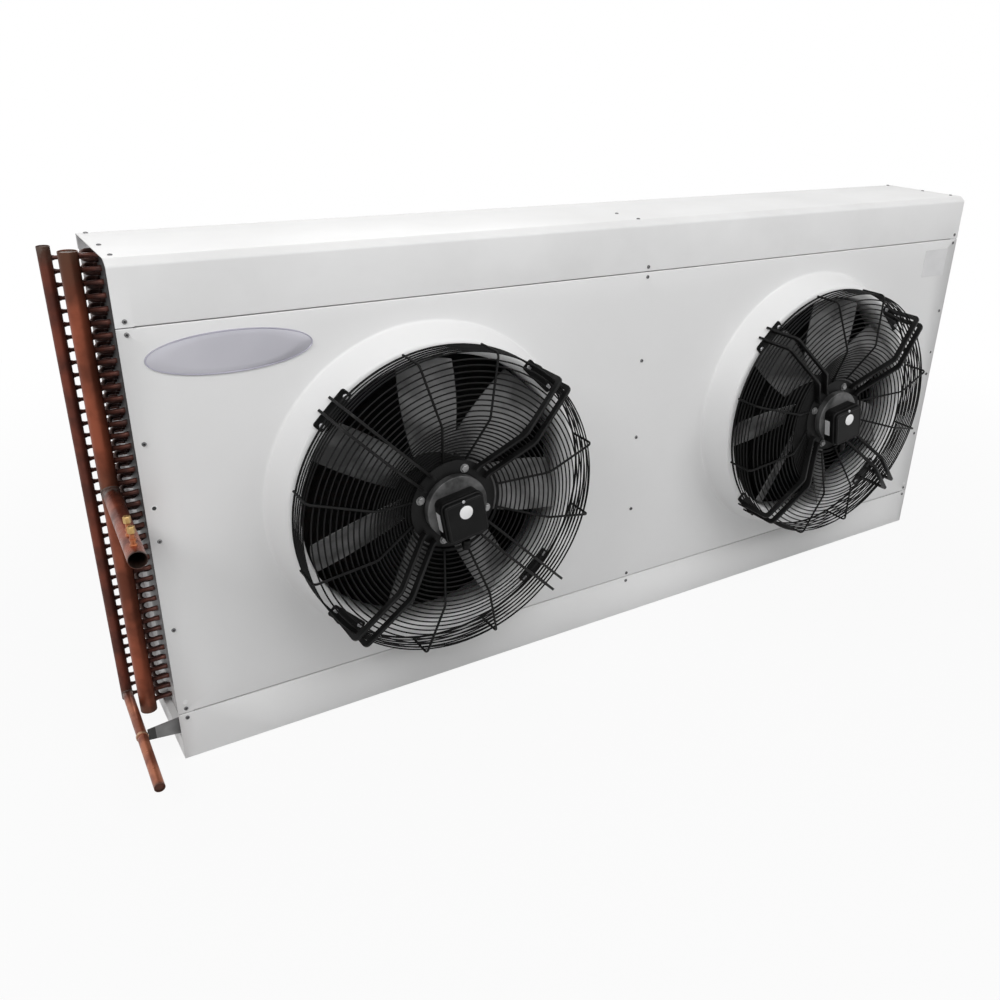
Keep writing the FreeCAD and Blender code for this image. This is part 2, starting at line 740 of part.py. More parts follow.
def fan_blades(x):
    """Seven blades, each fan stopped at its own angle."""
    stop = BLADE_STOPS[fan_places().index(x)]
    blades = []
    for number in range(BLADE_COUNT):
        copy = blade()
        copy.rotate(vec(0, 0, 0), BACKWARD, stop + 360.0 * number / BLADE_COUNT)
        copy.translate(vec(x, FRONT, FAN_HEIGHT))
        blades.append(copy)
    return Part.makeCompound(blades)


def rotor_can(x):
    """Bell of the external rotor, closed at the back round the shaft."""
    bevel = ROTOR_ROUND / 2
    floor = ROTOR_BACK + ROTOR_ROUND
    bore = SHAFT_RADIUS / math.cos(math.pi / ROUND_SIDES)
    inside = ROTOR_RADIUS - ROTOR_WALL
    outline = [(ROTOR_RADIUS, ROTOR_FRONT), (ROTOR_RADIUS, ROTOR_BACK + bevel), (ROTOR_RADIUS - bevel, ROTOR_BACK),
               (bore, ROTOR_BACK), (bore, floor), (inside, floor), (inside, ROTOR_FRONT)]
    return turned(x, outline, ROUND_SIDES, looped=True)


def shaft(x):
    """Shaft pressed in the bell and turning in the stator's bearings."""
    front = bearing_fronts()[0] + BEARING_SETBACK
    return rod(at_fan(x, front), at_fan(x, ROTOR_BACK), SHAFT_RADIUS)


def bearing_fronts():
    """How far out the front face of each bearing is."""
    return (ROTOR_FRONT + BEARING_SETBACK, CORE_BACK + BEARING_WIDTH + BEARING_SETBACK)


def bearings(x):
    rings = []
    for out in bearing_fronts():
        back = out - BEARING_WIDTH
        ring = turned(x, [(BEARING_RADIUS, out), (BEARING_RADIUS, back)], ROUND_SIDES)
        rings.append(ring.cut(rod(at_fan(x, out), at_fan(x, back), SHAFT_RADIUS + SHAFT_PLAY)))
    return Part.makeCompound(rings)


def stator(x):
    """Front cover with a bevelled rim, mounting flange and wound core round the bearings' bore."""
    flange = HUB_PLATE_FRONT - HUB_PLATE_THICKNESS
    flange_back = flange - STATOR_FLANGE_THICKNESS
    outline = [(STATOR_RADIUS - STATOR_ROUND, STATOR_FRONT), (STATOR_RADIUS, STATOR_FRONT - STATOR_ROUND),
               (STATOR_RADIUS, flange), (STATOR_FLANGE, flange), (STATOR_FLANGE, flange_back),
               (CORE_RADIUS, flange_back), (CORE_RADIUS, CORE_BACK), (BEARING_RADIUS, CORE_BACK),
               (BEARING_RADIUS, flange)]
    return turned(x, outline, ROUND_SIDES)


def hub_plate(x):
    """Round plate between the stator's flange and the arms."""
    back = HUB_PLATE_FRONT - HUB_PLATE_THICKNESS
    outline = [(HUB_PLATE_RADIUS, HUB_PLATE_FRONT), (HUB_PLATE_RADIUS, back), (STATOR_RADIUS, back),
               (STATOR_RADIUS, HUB_PLATE_FRONT)]
    return turned(x, outline, ROUND_SIDES, looped=True)


def hub_bolts(x):
    heads = []
    for angle in HUB_BOLT_ANGLES:
        foot = polar(x, HUB_BOLT_CIRCLE, angle, HUB_PLATE_FRONT)
        heads.append(flat_bar(foot, HUB_BOLT_RADIUS, 6, BACKWARD * -HUB_BOLT_HEAD))
    return Part.makeCompound(heads)


def guard_out(radius):
    """How far out the dished guard stands at a distance from the axis."""
    inner, outer = (GUARD_HUB, GUARD_KINK) if radius < GUARD_KINK[0] else (GUARD_KINK, GUARD_RIM)
    share = (radius - inner[0]) / (outer[0] - inner[0])
    return inner[1] + (outer[1] - inner[1]) * share


def guard_rings(x):
    """Square-wire rings: over the dished face, then down the side to the nozzle."""
    places = []
    for i in range(FACE_RINGS):
        radius = GUARD_HUB[0] + (GUARD_RIM[0] - GUARD_HUB[0]) * i / (FACE_RINGS - 1)
        places.append((radius, guard_out(radius)))
    for i in range(1, SIDE_RINGS):
        share = i / (SIDE_RINGS - 1)
        places.append((GUARD_RIM[0], GUARD_RIM[1] + (GUARD_REAR[1] - GUARD_RIM[1]) * share))
    return [guard_ring(x, radius, out) for radius, out in places]


def guard_ring(x, radius, out):
    """Square-section ring whose corners lie on the spokes and between the arms."""
    half = RING_SECTION / 2
    outline = [(radius - half, out - half), (radius + half, out - half), (radius + half, out + half),
               (radius - half, out + half)]
    return turned(x, outline, RING_SIDES, looped=True)


def radial_strip(x, outline, thickness, degrees, aside):
    """Flat strip on edge, its outline in radius and distance out, turned about the axis."""
    corners = [vec(radius, -out, aside - thickness / 2) for radius, out in outline]
    strip = prism(corners, vec(0, 0, thickness))
    strip.rotate(vec(0, 0, 0), BACKWARD, -degrees)
    strip.translate(vec(x, FRONT, FAN_HEIGHT))
    return strip


def fan_guard(x):
    """Guard of rings with eight kinked spokes in front of them."""
    half = RING_SECTION / 2
    seat = half - WELD_BITE
    path = [(GUARD_HUB[0] - half, GUARD_HUB[1] + seat), (GUARD_KINK[0], GUARD_KINK[1] + seat),
            (GUARD_RIM[0] + seat, GUARD_RIM[1] + seat), (GUARD_REAR[0] + seat, GUARD_REAR[1] - half)]
    outline = sheet_outline(path, SPOKE_THICKNESS)
    spokes = [radial_strip(x, outline, SPOKE_THICKNESS, angle, 0.0) for angle in SPOKE_ANGLES]
    guard = spokes[0].fuse(spokes[1:] + guard_rings(x))
    return guard.removeSplitter()


def arm_outline():
    """Kinked flat bar from the hub plate to the nozzle's crest, with a narrow tip outside the crest."""
    near = (ARM_SPACING - ARM_THICKNESS) / 2
    inner = GUARD_RIM[0] + RING_SECTION / 2 - near * math.tan(math.pi / RING_SIDES)
    path = [(ARM_FOOT[0], HUB_PLATE_FRONT), (ARM_FOOT[1], HUB_PLATE_FRONT), ARM_KINK,
            (inner - ARM_CORNER_CUT, ARM_CORNER_OUT), (inner, ARM_CORNER_OUT - ARM_CORNER_CUT),
            (inner, NOZZLE_HEIGHT)]
    outline = sheet_outline(path, ARM_DEPTH)
    side = NOZZLE_CREST_RADIUS + NOZZLE_SHOULDER / 2 + ARM_TIP_GAP
    knee = NOZZLE_HEIGHT + ARM_TIP_SLOPE
    tip = [(side, NOZZLE_HEIGHT), (side, ARM_TIP_OUT), (side + ARM_TIP_WIDTH, ARM_TIP_OUT),
           (side + ARM_TIP_WIDTH, knee), (inner + ARM_DEPTH, knee + ARM_TIP_SLOPE)]
    return path + tip + outline[len(path) + 1:]


def mounting_arms(x):
    """Four pairs of arms."""
    bars = []
    for angle in ARM_ANGLES:
        for aside in (-ARM_SPACING / 2, ARM_SPACING / 2):
            bars.append(radial_strip(x, arm_outline(), ARM_THICKNESS, angle, aside))
    return Part.makeCompound(bars)


def bracket_plates(x):
    """Plates on the nozzle's crest, notched round the outer ends of the arms."""
    arms = mounting_arms(x)
    plates = []
    for angle in ARM_ANGLES:
        plate = box(BRACKET_RADIUS - BRACKET_WIDTH / 2, BRACKET_RADIUS + BRACKET_WIDTH / 2,
                    -NOZZLE_HEIGHT - BRACKET_PLATE, -NOZZLE_HEIGHT, -BRACKET_LENGTH / 2, BRACKET_LENGTH / 2)
        plate.rotate(vec(0, 0, 0), BACKWARD, -angle)
        plate.translate(vec(x, FRONT, FAN_HEIGHT))
        plates.append(plate.cut(arms).Solids[0])
    return Part.makeCompound(plates)


def bracket_screws(x):
    heads = []
    for angle in ARM_ANGLES:
        for turn in (-BRACKET_SCREW_ANGLE, BRACKET_SCREW_ANGLE):
            foot = polar(x, BRACKET_RADIUS, angle + turn, NOZZLE_HEIGHT + BRACKET_PLATE)
            heads.append(flat_bar(foot, BRACKET_SCREW_RADIUS, 6, BACKWARD * -BRACKET_SCREW_HEAD))
    return Part.makeCompound(heads)


def terminal_ring(x, grow, out):
    """Corners of the terminal box's rounded outline, seen from the front and moved out by grow."""
    middle_x = x + TERMINAL_OFFSET_X
    middle_z = FAN_HEIGHT + TERMINAL_OFFSET_Z
    corners = []
    for quarter in range(4):
        side_x = 1 if quarter in (0, 3) else -1
        side_z = 1 if quarter in (0, 1) else -1
        turn_x = middle_x + side_x * (TERMINAL_WIDTH / 2 - TERMINAL_ROUND)
        turn_z = middle_z + side_z * (TERMINAL_HEIGHT / 2 - TERMINAL_ROUND)
        for step in range(CORNER_STEPS + 1):
            angle = math.radians(90.0 * (quarter + step / CORNER_STEPS))
            corners.append(vec(turn_x + (TERMINAL_ROUND + grow) * math.cos(angle), FRONT - out,
                               turn_z + (TERMINAL_ROUND + grow) * math.sin(angle)))
    return corners


def terminal_box(x):
    return skin([terminal_ring(x, 0.0, STATOR_FRONT), terminal_ring(x, 0.0, TERMINAL_FRONT)])


def terminal_lid(x):
    """Lid with a bevelled rim."""
    front = TERMINAL_FRONT + LID_DEPTH
    return skin([terminal_ring(x, LID_OVERHANG, TERMINAL_FRONT),
                 terminal_ring(x, LID_OVERHANG, front - LID_BEVEL),
                 terminal_ring(x, LID_OVERHANG - LID_BEVEL, front)])


def lid_sticker(x):
    """Bare round plate on the lid."""
    place = vec(x + STICKER_OFFSET_X, FRONT - TERMINAL_FRONT - LID_DEPTH, FAN_HEIGHT + STICKER_OFFSET_Z)
    return flat_bar(place, STICKER_RADIUS, STICKER_SIDES, BACKWARD * -STICKER_THICKNESS)


def cable_gland(x):
    """Gland under the terminal box."""
    place = vec(x + TERMINAL_OFFSET_X, FRONT - (STATOR_FRONT + TERMINAL_FRONT) / 2,
                FAN_HEIGHT + TERMINAL_OFFSET_Z - TERMINAL_HEIGHT / 2)
    return flat_bar(place, GLAND_RADIUS, 8, UP * -GLAND_LENGTH)


def fan_parts(side, x):
    """All pieces of one fan, named for its side."""
    makers = (fan_guard, mounting_arms, bracket_plates, bracket_screws, hub_plate, hub_bolts, stator, bearings,
              shaft, rotor_can, fan_blades, terminal_box, terminal_lid, lid_sticker, cable_gland)
    return {side + "_" + maker.__name__: maker(x) for maker in makers}


def assembly():
    makers = (top_hood, fan_panel, bottom_panel, centre_partition, left_tube_plate, fin_block,
              left_return_bends, right_hairpin_bends, gas_stub_tubes, liquid_stub_tubes,
              gas_header, gas_header_caps, liquid_header, liquid_header_caps,
              gas_inlet_pipe, liquid_outlet_pipe, access_valves, access_valve_caps,
              pipe_bracket, bracket_rubber, pipe_clip, badge_plate, rating_plate,
              front_screws, top_screws)
    parts = {maker.__name__: maker() for maker in makers}
    parts["right_tube_plate"] = mirrored(parts["left_tube_plate"])
    for side, x in zip(("left", "right"), fan_places()):
        parts.update(fan_parts(side, x))
    return parts


def main():
    os.makedirs("parts", exist_ok=True)
    for name, shape in assembly().items():
        shape.exportStep("parts/" + name + ".step")
        print(name, "solids", len(shape.Solids), "valid", shape.isValid(), "volume", round(shape.Volume))


main()
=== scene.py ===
import bmesh
import bpy
import math
import numpy as np
from mathutils import Euler, Matrix, Vector


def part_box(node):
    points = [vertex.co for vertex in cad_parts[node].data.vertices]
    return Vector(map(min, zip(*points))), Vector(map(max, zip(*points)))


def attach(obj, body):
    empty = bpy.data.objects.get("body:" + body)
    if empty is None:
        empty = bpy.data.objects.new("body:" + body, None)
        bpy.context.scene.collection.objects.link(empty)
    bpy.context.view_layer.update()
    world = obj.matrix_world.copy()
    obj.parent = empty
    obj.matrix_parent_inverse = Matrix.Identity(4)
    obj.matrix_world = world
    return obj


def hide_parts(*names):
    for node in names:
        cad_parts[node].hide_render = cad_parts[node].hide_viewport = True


# Refrigeration condenser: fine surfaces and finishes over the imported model.
# Sizes are millimetres, worked out in the same frame: +Z up, fans facing -Y, origin centre of the base.

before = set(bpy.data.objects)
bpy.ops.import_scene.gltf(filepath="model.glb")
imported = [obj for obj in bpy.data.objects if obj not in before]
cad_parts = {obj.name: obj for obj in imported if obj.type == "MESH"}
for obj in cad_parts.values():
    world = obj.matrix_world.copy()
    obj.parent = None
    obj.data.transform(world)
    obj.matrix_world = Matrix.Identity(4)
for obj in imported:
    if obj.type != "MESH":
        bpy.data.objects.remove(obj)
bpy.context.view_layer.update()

MM = 0.001
CABINET = "cabinet"
SMOOTH_ANGLE = math.radians(38)
OUTWARD = (0, -1, 0)

# Cabinet
LEFT, RIGHT = -1200, 1200
FRONT, BACK = -142, 142
HEIGHT = 1084
SHEET = 1.5
FOLD_RADIUS, SEAM_FOLD = 3, 2
FOLD_STEPS = 5
SEAM_FLANGE = 14
CORNER_RELIEF = 32
LOWER_SEAM = (117, 119)
UPPER_SEAM = (961, 963)
REAR_LIP, END_FLAP = 30, 50
SLOPE_DEPTH, SLOPE_DROP, SLOPE_RADIUS = 16.5, 12, 8
HOLE_X, HOLE_Y, HOLE_RADIUS = 1100, 110, 6
NOZZLE_CREST = 80
NOZZLE_CORNERS = ((386, 0), (374, 0), (351.5, NOZZLE_CREST), (319, NOZZLE_CREST), (319, -10))
NOZZLE_RADII = (7, 9, 17)

# Plates and screws
BADGE_X, BADGE_Z, BADGE_HALF = -1002, 897, (159, 42)
RATING_X, RATING_Z, RATING_SIZE = 1111.5, 895, (103, 80)
SCREW_X = 1183
SCREW_RADIUS, SCREW_HEIGHT, HEAD_SIDES = 4.5, 2.2, 16
FRONT_SCREW_Z = (106, 130, 328, 534, 740, 950, 974)
END_SCREW_DEPTHS, MIDDLE_SCREW_DEPTHS, MIDDLE_SCREW_X = (40, 142, 276), (22, 108), -23.5
DIMPLE_Z = {"lower": 146, "upper": 606}

# Coil
TUBE_RADIUS, LIQUID_STUB_RADIUS = 4.76, 4
TUBE_PITCH = 25.4
ROW_DEPTHS = (6, 28, 50, 72)
TOP_TUBE = 1066.2
TUBE_COUNT = 40
PLATE_X = 1184
BEND_LEG = 14
FIN_COUNT, FIN_THICKNESS = 1100, 0.3
FIN_FRONT, FIN_BACK = -5, 83
FIN_LOW, FIN_HIGH = 50.2, 1080.5
FIN_END = 1182.5

# Pipework
HEADER_TOP = 1076
GAS_X, GAS_RADIUS, GAS_LOW = -1236.5, 17.5, 52
LIQUID_X, LIQUID_RADIUS, LIQUID_LOW = -1268, 12, 55
GAS_Y, LIQUID_Y = ROW_DEPTHS[0], ROW_DEPTHS[3]
PIPE_WALL, PIPE_RIM = 1.5, 0.5
DISC_DEPTH = 3
GAS_PIPE_END = (-1252, -320, 595)
LIQUID_PIPE_END = (-1279, -292, 70)
GAS_PIPE_RADIUS, LIQUID_PIPE_RADIUS = 17.1, 11
BEAD_RADIUS = 1.6
VALVE_SETBACKS, VALVE_HEIGHT = (28, 73), 24

# Fans
FAN_X = {"left": -600, "right": 600}
FAN_Z = 534
BLADE_COUNT = 7
BLADE_STOPS = {"left": -5, "right": 6.5}
BLADE_STATIONS = ((85, 72), (200, 102), (325, 100))
BLADE_ROLL, BLADE_PITCH, BLADE_MIDDLE, BLADE_THICKNESS = 380, 30, 46, 3
ROTOR_RADIUS, TIP_RADIUS = 94, 312
GUARD_HUB, GUARD_KINK, GUARD_RIM, GUARD_REAR = (110, 131), (215, 187), (346, 160), (346, 92)
RING_WIRE, REAR_WIRE, SPOKE_WIRE = 1.75, 2, 2.7
SPOKE_ANGLES = (15, 75, 105, 165, 195, 255, 285, 345)
ARM_ANGLES = (45, 135, 225, 315)
ARM_SPACING, ARM_THICKNESS, ARM_DEPTH, ARM_REACH = 33, 6, 15, 345.46
BRACKET_RADIUS, BRACKET_LENGTH, BRACKET_WIDTH, BRACKET_THICKNESS = 342, 96, 28, 3
HUB_OUT, HUB_BOLT_CIRCLE, HUB_BOLT_ANGLES = 130, 84, (72, 162, 252, 342)
BOX_WIDTH, BOX_HEIGHT, BOX_ROUND = 100, 98, 14
BOX_SHIFT, BOX_TURN, BOX_FRONT = (-1, -11), 10, 193
GLAND_SHIFT, GLAND_OUT = (6, -74), 173

# Camera and light
CAMERA_PLACE, CAMERA_TURN = (-1.47744, -1.96457, 1.43864), (1.13472083, -0.03616553, -0.58675581)
AMBIENT = 0.34
FLOOR_HALF, FLOOR_DROP = 60, 0.001
LAMPS = (("key_light", (0.3, -2.3, 3.2), (0, -0.1, 0.6), (3.6, 1.2), 60),
         ("left_light", (-3, -1.5, 3.1), (0, -0.1, 0.6), (1.6, 1.8), 46),
         ("right_light", (1.6, -3.2, 2), (-0.3, -0.1, 0.6), (1.6, 1), 9),
         ("top_light", (0, 0.5, 3.4), (0, 0, 1), (4, 1.2), 5),
         ("rear_light", (0.4, 3.4, 3.3), (0, 0, 0.4), (3.2, 1), 70))


# Numpy shapes

def xyz(*parts):
    """Points from three coordinates, each a number or an array."""
    return np.stack(np.broadcast_arrays(*parts), axis=-1).astype(float)


def unit(vectors):
    """Vectors divided by their own lengths."""
    return vectors / np.linalg.norm(vectors, axis=-1, keepdims=True)


def circle(count):
    """Even angles all the way round."""
    return np.linspace(0, 2 * math.pi, count, endpoint=False)


def spun(u, w, count):
    """Unit circle in the plane of each pair of directions: cosine times the first plus sine times the
    second."""
    angle = circle(count)[:, None]
    return np.cos(angle) * u[:, None, :] + np.sin(angle) * w[:, None, :]


def grid(points, wrap_rows=False, wrap_cols=False):
    """Patch from a (rows, columns, 3) array: each face joins four neighbours, wrapped where asked."""
    rows, cols = points.shape[:2]
    number = np.arange(rows * cols).reshape(rows, cols)
    if wrap_rows:
        number = np.vstack([number, number[:1]])
    if wrap_cols:
        number = np.hstack([number, number[:, :1]])
    faces = np.stack([number[:-1, :-1], number[:-1, 1:], number[1:, 1:], number[1:, :-1]], axis=-1)
    return points.reshape(-1, 3), faces.reshape(-1, 4).tolist()


def looped(rings):
    """Patch that closes on itself both ways."""
    return grid(np.array(rings), wrap_rows=True, wrap_cols=True)


def capped(rings):
    """Closed patch: rings of points joined in turn, with a flat face over the first and last ring."""
    points = np.array(rings, float)
    verts, faces = grid(points, wrap_cols=True)
    cols = points.shape[1]
    faces.append(list(range(cols))[::-1])
    faces.append(list(range(len(verts) - cols, len(verts))))
    return verts, faces


def folded(sections):
    """Sheet from closed (y, z) outlines at given x, joined in turn and closed at both ends."""
    return capped([xyz(x, *np.transpose(outline)) for x, outline in sections])


def strip(section, xs):
    """Open sheet: each (y, z) point of a section carried along the given x."""
    y, z = np.transpose(section)[:, :, None]
    return grid(xyz(np.array(xs), y, z))


def repeated(patch, places):
    """The same patch set at every place: its points plus each place in turn."""
    verts, faces = patch
    places = np.asarray(places, float)
    count = len(verts)
    moved = (places[:, None, :] + verts[None, :, :]).reshape(-1, 3)
    every = [[corner + k * count for corner in face] for k in range(len(places)) for face in faces]
    return moved, every


def placed(patch, place):
    """A patch with one place added to all its points."""
    return patch[0] + np.array(place), patch[1]


def facing(patch, way=OUTWARD):
    """Turn a patch that stands along +Z so that it stands along another axis."""
    turn = np.array(Vector((0, 0, 1)).rotation_difference(Vector(way)).to_matrix())
    return patch[0] @ turn.T, patch[1]


def rounded_path(points, radii, steps=FOLD_STEPS):
    """Line in a plane with each inner corner swapped for an arc of the given radius, tangent to both runs."""
    points = np.asarray(points, float)
    line = [points[0]]
    for before, corner, after, radius in zip(points, points[1:], points[2:], radii):
        back, ahead = unit(before - corner), unit(after - corner)
        half = math.acos(np.clip(np.dot(back, ahead), -1, 1)) / 2
        if radius <= 0 or half < 1e-3:
            line.append(corner)
            continue
        reach = radius / math.tan(half)
        start, end = corner + back * reach, corner + ahead * reach
        middle = corner + unit(back + ahead) * radius / math.sin(half)
        swing = math.pi - 2 * half
        u = (start - middle) / radius
        v = unit((end - middle) / radius - u * math.cos(swing))
        turn = np.linspace(0, swing, steps + 1)[:, None]
        line.extend(middle + radius * (np.cos(turn) * u + np.sin(turn) * v))
    line.append(points[-1])
    return np.array(line)


def rounded_outline(width, height, radius, steps=6):
    """Closed rectangle about the origin with quarter-circle corners, anticlockwise."""
    quarter = np.linspace(0, math.pi / 2, steps + 1)
    parts = []
    for k, (sx, sy) in enumerate(((1, 1), (-1, 1), (-1, -1), (1, -1))):
        turn = quarter + k * math.pi / 2
        parts.append(xyz(sx * (width / 2 - radius) + radius * np.cos(turn),
                         sy * (height / 2 - radius) + radius * np.sin(turn)))
    return np.concatenate(parts)


def sheet_section(path, radii):
    """Closed outline of a folded sheet: the path with rounded folds, then the same one sheet further in."""
    path = rounded_path(path, radii)
    ahead = unit(np.gradient(path, axis=0))
    normal = np.stack([-ahead[:, 1], ahead[:, 0]], axis=-1)
    return np.concatenate([path, (path + normal * SHEET)[::-1]])


def sweep(path, radius, sides=12):
    """Circles square to a path, their frame carried along without twist. The radius is a number, or one
    for each point."""
    path = np.asarray(path, float)
    ahead = unit(np.gradient(path, axis=0))
    aside = np.cross(ahead[0], (0, 0, 1) if abs(ahead[0][2]) < 0.9 else (1, 0, 0))
    frames = []
    for way in ahead:
        aside = unit(aside - way * np.dot(aside, way))
        frames.append(aside)
    u = np.array(frames)
    size = np.broadcast_to(np.asarray(radius, float), (len(path),))[:, None, None]
    return path[:, None, :] + size * spun(u, np.cross(ahead, u), sides)


def bar(path, radius, sides=12):
    """Solid bar: circles swept along a path, with a flat face over both ends."""
    return capped(sweep(path, radius, sides))


def hoop(way, sides):
    """Unit circle about the origin, square to a direction."""
    return sweep([(0, 0, 0), way], 1, sides)[0]


def tube(start, end, radius, sides=32, count=20):
    """Straight hollow pipe: its outside, a rounded rim, its inside and the other rim, closed in a loop."""
    start = np.array(start, float)
    way = np.array(end, float) - start
    length = np.linalg.norm(way)
    steps = np.concatenate([[PIPE_RIM], np.linspace(0, length, count)[1:-1], [length - PIPE_RIM]])
    along_axis = np.concatenate([steps, [length], steps[::-1], [0]])[:, None, None]
    inner, middle = radius - PIPE_WALL, radius - PIPE_WALL / 2
    size = np.array([radius] * len(steps) + [middle] + [inner] * len(steps) + [middle])[:, None, None]
    return looped(start + along_axis * way / length + size * hoop(way, sides))


def lathe(profile, sides=32, join=capped):
    """Closed turned shape about +Z from (radius, height) pairs."""
    radius, height = np.array(profile, float).T[:, :, None]
    angle = circle(sides)
    return join(xyz(radius * np.cos(angle), radius * np.sin(angle), height))


def turned(x, profile, join=looped, sides=96):
    """The same about a fan's axis, from (radius, distance out) pairs."""
    return placed(facing(lathe(profile, sides, join)), (x, FRONT, FAN_Z))


def pan_head(radius, height):
    """Screw head standing on the origin along +Z: a rounded edge, a flat top and a small recess."""
    profile = ((1, 0), (1, 0.45), (0.93, 0.75), (0.75, 0.96), (0.44, 1), (0.34, 0.45), (0.02, 0.4))
    return lathe([(radius * share, height * rise) for share, rise in profile], HEAD_SIDES)


def radial(points, x, degrees):
    """Points given as (radius, distance aside, distance out) carried to a fan and turned by an angle."""
    points = np.asarray(points, float)
    angle = math.radians(degrees)
    radius, aside, out = points[..., 0], points[..., 1], points[..., 2]
    return xyz(x + radius * math.cos(angle) - aside * math.sin(angle), FRONT - out,
               FAN_Z + radius * math.sin(angle) + aside * math.cos(angle))


# Pieces

def piece(name, patches, material, node="", body=CABINET, smooth=True, closed=True, bevel=0):
    """One object from patches, in millimetres: joined, doubles merged, faces turned outwards, then
    given its bevel, material and body; the CAD node that it stands for is hidden."""
    verts = []
    faces = []
    start = 0
    for points, quads in patches:
        verts.append(np.asarray(points, float))
        faces.extend([[corner + start for corner in quad] for quad in quads])
        start += len(points)
    mesh = bpy.data.meshes.new(name)
    mesh.from_pydata((np.concatenate(verts) * MM).tolist(), [], faces)
    work = bmesh.new()
    work.from_mesh(mesh)
    bmesh.ops.remove_doubles(work, verts=work.verts, dist=0.00002)
    if closed:
        bmesh.ops.recalc_face_normals(work, faces=work.faces)
    work.to_mesh(mesh)
    work.free()
    mesh.polygons.foreach_set("use_smooth", [smooth] * len(mesh.polygons))
    if smooth:
        mesh.set_sharp_from_angle(angle=SMOOTH_ANGLE)
    mesh.materials.append(material)
    thing = bpy.data.objects.new(name, mesh)
    bpy.context.scene.collection.objects.link(thing)
    if bevel:
        edge = thing.modifiers.new("edge", "BEVEL")
        edge.width = bevel * MM
        edge.segments = 2
        edge.limit_method = "ANGLE"
        edge.angle_limit = math.radians(40)
        edge.harden_normals = False
    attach(thing, body)
    if node:
        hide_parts(node)
    return thing


def second_material(thing, material, picks):
    """Another finish on the picked faces."""
    thing.data.materials.append(material)
    thing.data.polygons.foreach_set("material_index", np.asarray(picks).astype(int))


def open_sheet(name, patches, node, turn_faces):
    """Painted sheet from open patches: its faces turned outwards by a rule, then given their thickness."""
    thing = piece(name, patches, WHITE_PAINT, node, closed=False)
    work = bmesh.new()
    work.from_mesh(thing.data)
    turn_faces(work)
    work.to_mesh(thing.data)
    work.free()
    thing.data.set_sharp_from_angle(angle=SMOOTH_ANGLE)
    wall = thing.modifiers.new("wall", "SOLIDIFY")
    wall.thickness = SHEET * MM
    wall.offset = -1


def face_out(work):
    """Turn every face the same way round, then the whole sheet so that its largest side faces out."""
    bmesh.ops.recalc_face_normals(work, faces=work.faces)
    largest = max(work.faces, key=lambda face: face.calc_area())
    if largest.normal.dot(Vector(OUTWARD)) < 0:
        bmesh.ops.reverse_faces(work, faces=work.faces)


def face_away(work):
    """Turn each face of the bottom channel away from a line along X inside it."""
    inside = Vector((0, 0, 60)) * MM
    for face in work.faces:
        middle = face.calc_center_median()
        middle.x = 0
        if face.normal.dot(middle - inside) < 0:
            face.normal_flip()


# Shader parts

def feed(tree, socket, value):
    """Link a socket to another one, or set its value."""
    if isinstance(value, bpy.types.NodeSocket):
        tree.links.new(value, socket)
    else:
        socket.default_value = value


def maths(tree, operation, first, second):
    """Result of a maths node on two sockets or numbers."""
    node = tree.nodes.new("ShaderNodeMath")
    node.operation = operation
    feed(tree, node.inputs[0], first)
    feed(tree, node.inputs[1], second)
    return node.outputs[0]


def product(tree, first, second):
    """Two masks or numbers multiplied."""
    return maths(tree, "MULTIPLY", first, second)


def span(tree, value, start=0, end=1, low=0, high=1, smooth=False):
    """A value carried from one range to another and kept inside it."""
    node = tree.nodes.new("ShaderNodeMapRange")
    node.interpolation_type = "SMOOTHSTEP" if smooth else "LINEAR"
    parts = {"Value": value, "From Min": start, "From Max": end, "To Min": low, "To Max": high}
    for label, part in parts.items():
        feed(tree, node.inputs[label], part)
    return node.outputs["Result"]


def noise(tree, scale, detail):
    """Noise on Object coordinates."""
    node = tree.nodes.new("ShaderNodeTexNoise")
    feed(tree, node.inputs["Vector"], tree.nodes.new("ShaderNodeTexCoord").outputs["Object"])
    feed(tree, node.inputs["Scale"], scale)
    feed(tree, node.inputs["Detail"], detail)
    return node.outputs["Fac"]


def mixed(tree, mask, first, second):
    """Colour between two, by a mask socket: each of the two is a colour, a grey level or another socket."""
    node = tree.nodes.new("ShaderNodeMix")
    node.data_type = "RGBA"
    feed(tree, node.inputs["Factor"], mask)
    for socket, colour in ((node.inputs[6], first), (node.inputs[7], second)):
        if isinstance(colour, float):
            colour = (colour, colour, colour)
        feed(tree, socket, colour if isinstance(colour, bpy.types.NodeSocket) else (*colour, 1))
    return node.outputs[2]


def axis_value(tree, vector, axis):
    """One coordinate of a vector socket."""
    split = tree.nodes.new("ShaderNodeSeparateXYZ")
    feed(tree, split.inputs[0], vector)
    return split.outputs[axis]


def along(tree, axis, start, end):
    """Mask that rises from 0 to 1 between two Object coordinates, in millimetres, along one axis."""
    place = tree.nodes.new("ShaderNodeTexCoord").outputs["Object"]
    return span(tree, axis_value(tree, place, axis), start * MM, end * MM)


def band(tree, axis, middle, half):
    """Mask that is 1 at an Object coordinate, in millimetres, and 0 at half its width either side."""
    return product(tree, along(tree, axis, middle - half, middle), along(tree, axis, middle + half, middle))


# Shared effects

def effect(name, inputs, output, build):
    """Node group with number inputs and one number output, and between them what build makes."""
    group = bpy.data.node_groups.new(name, "ShaderNodeTree")
    for label, value in inputs.items():
        socket = group.interface.new_socket(label, in_out="INPUT", socket_type="NodeSocketFloat")
        socket.default_value = value
    group.interface.new_socket(output, in_out="OUTPUT", socket_type="NodeSocketFloat")
    given = group.nodes.new("NodeGroupInput").outputs
    result = group.nodes.new("NodeGroupOutput")
    feed(group, result.inputs[output], build(group, given))
    return group


def cloudy_mask(group, given):
    """Clouds pushed to Low and High for contrast."""
    return span(group, noise(group, given["Scale"], given["Detail"]), given["Low"], given["High"])


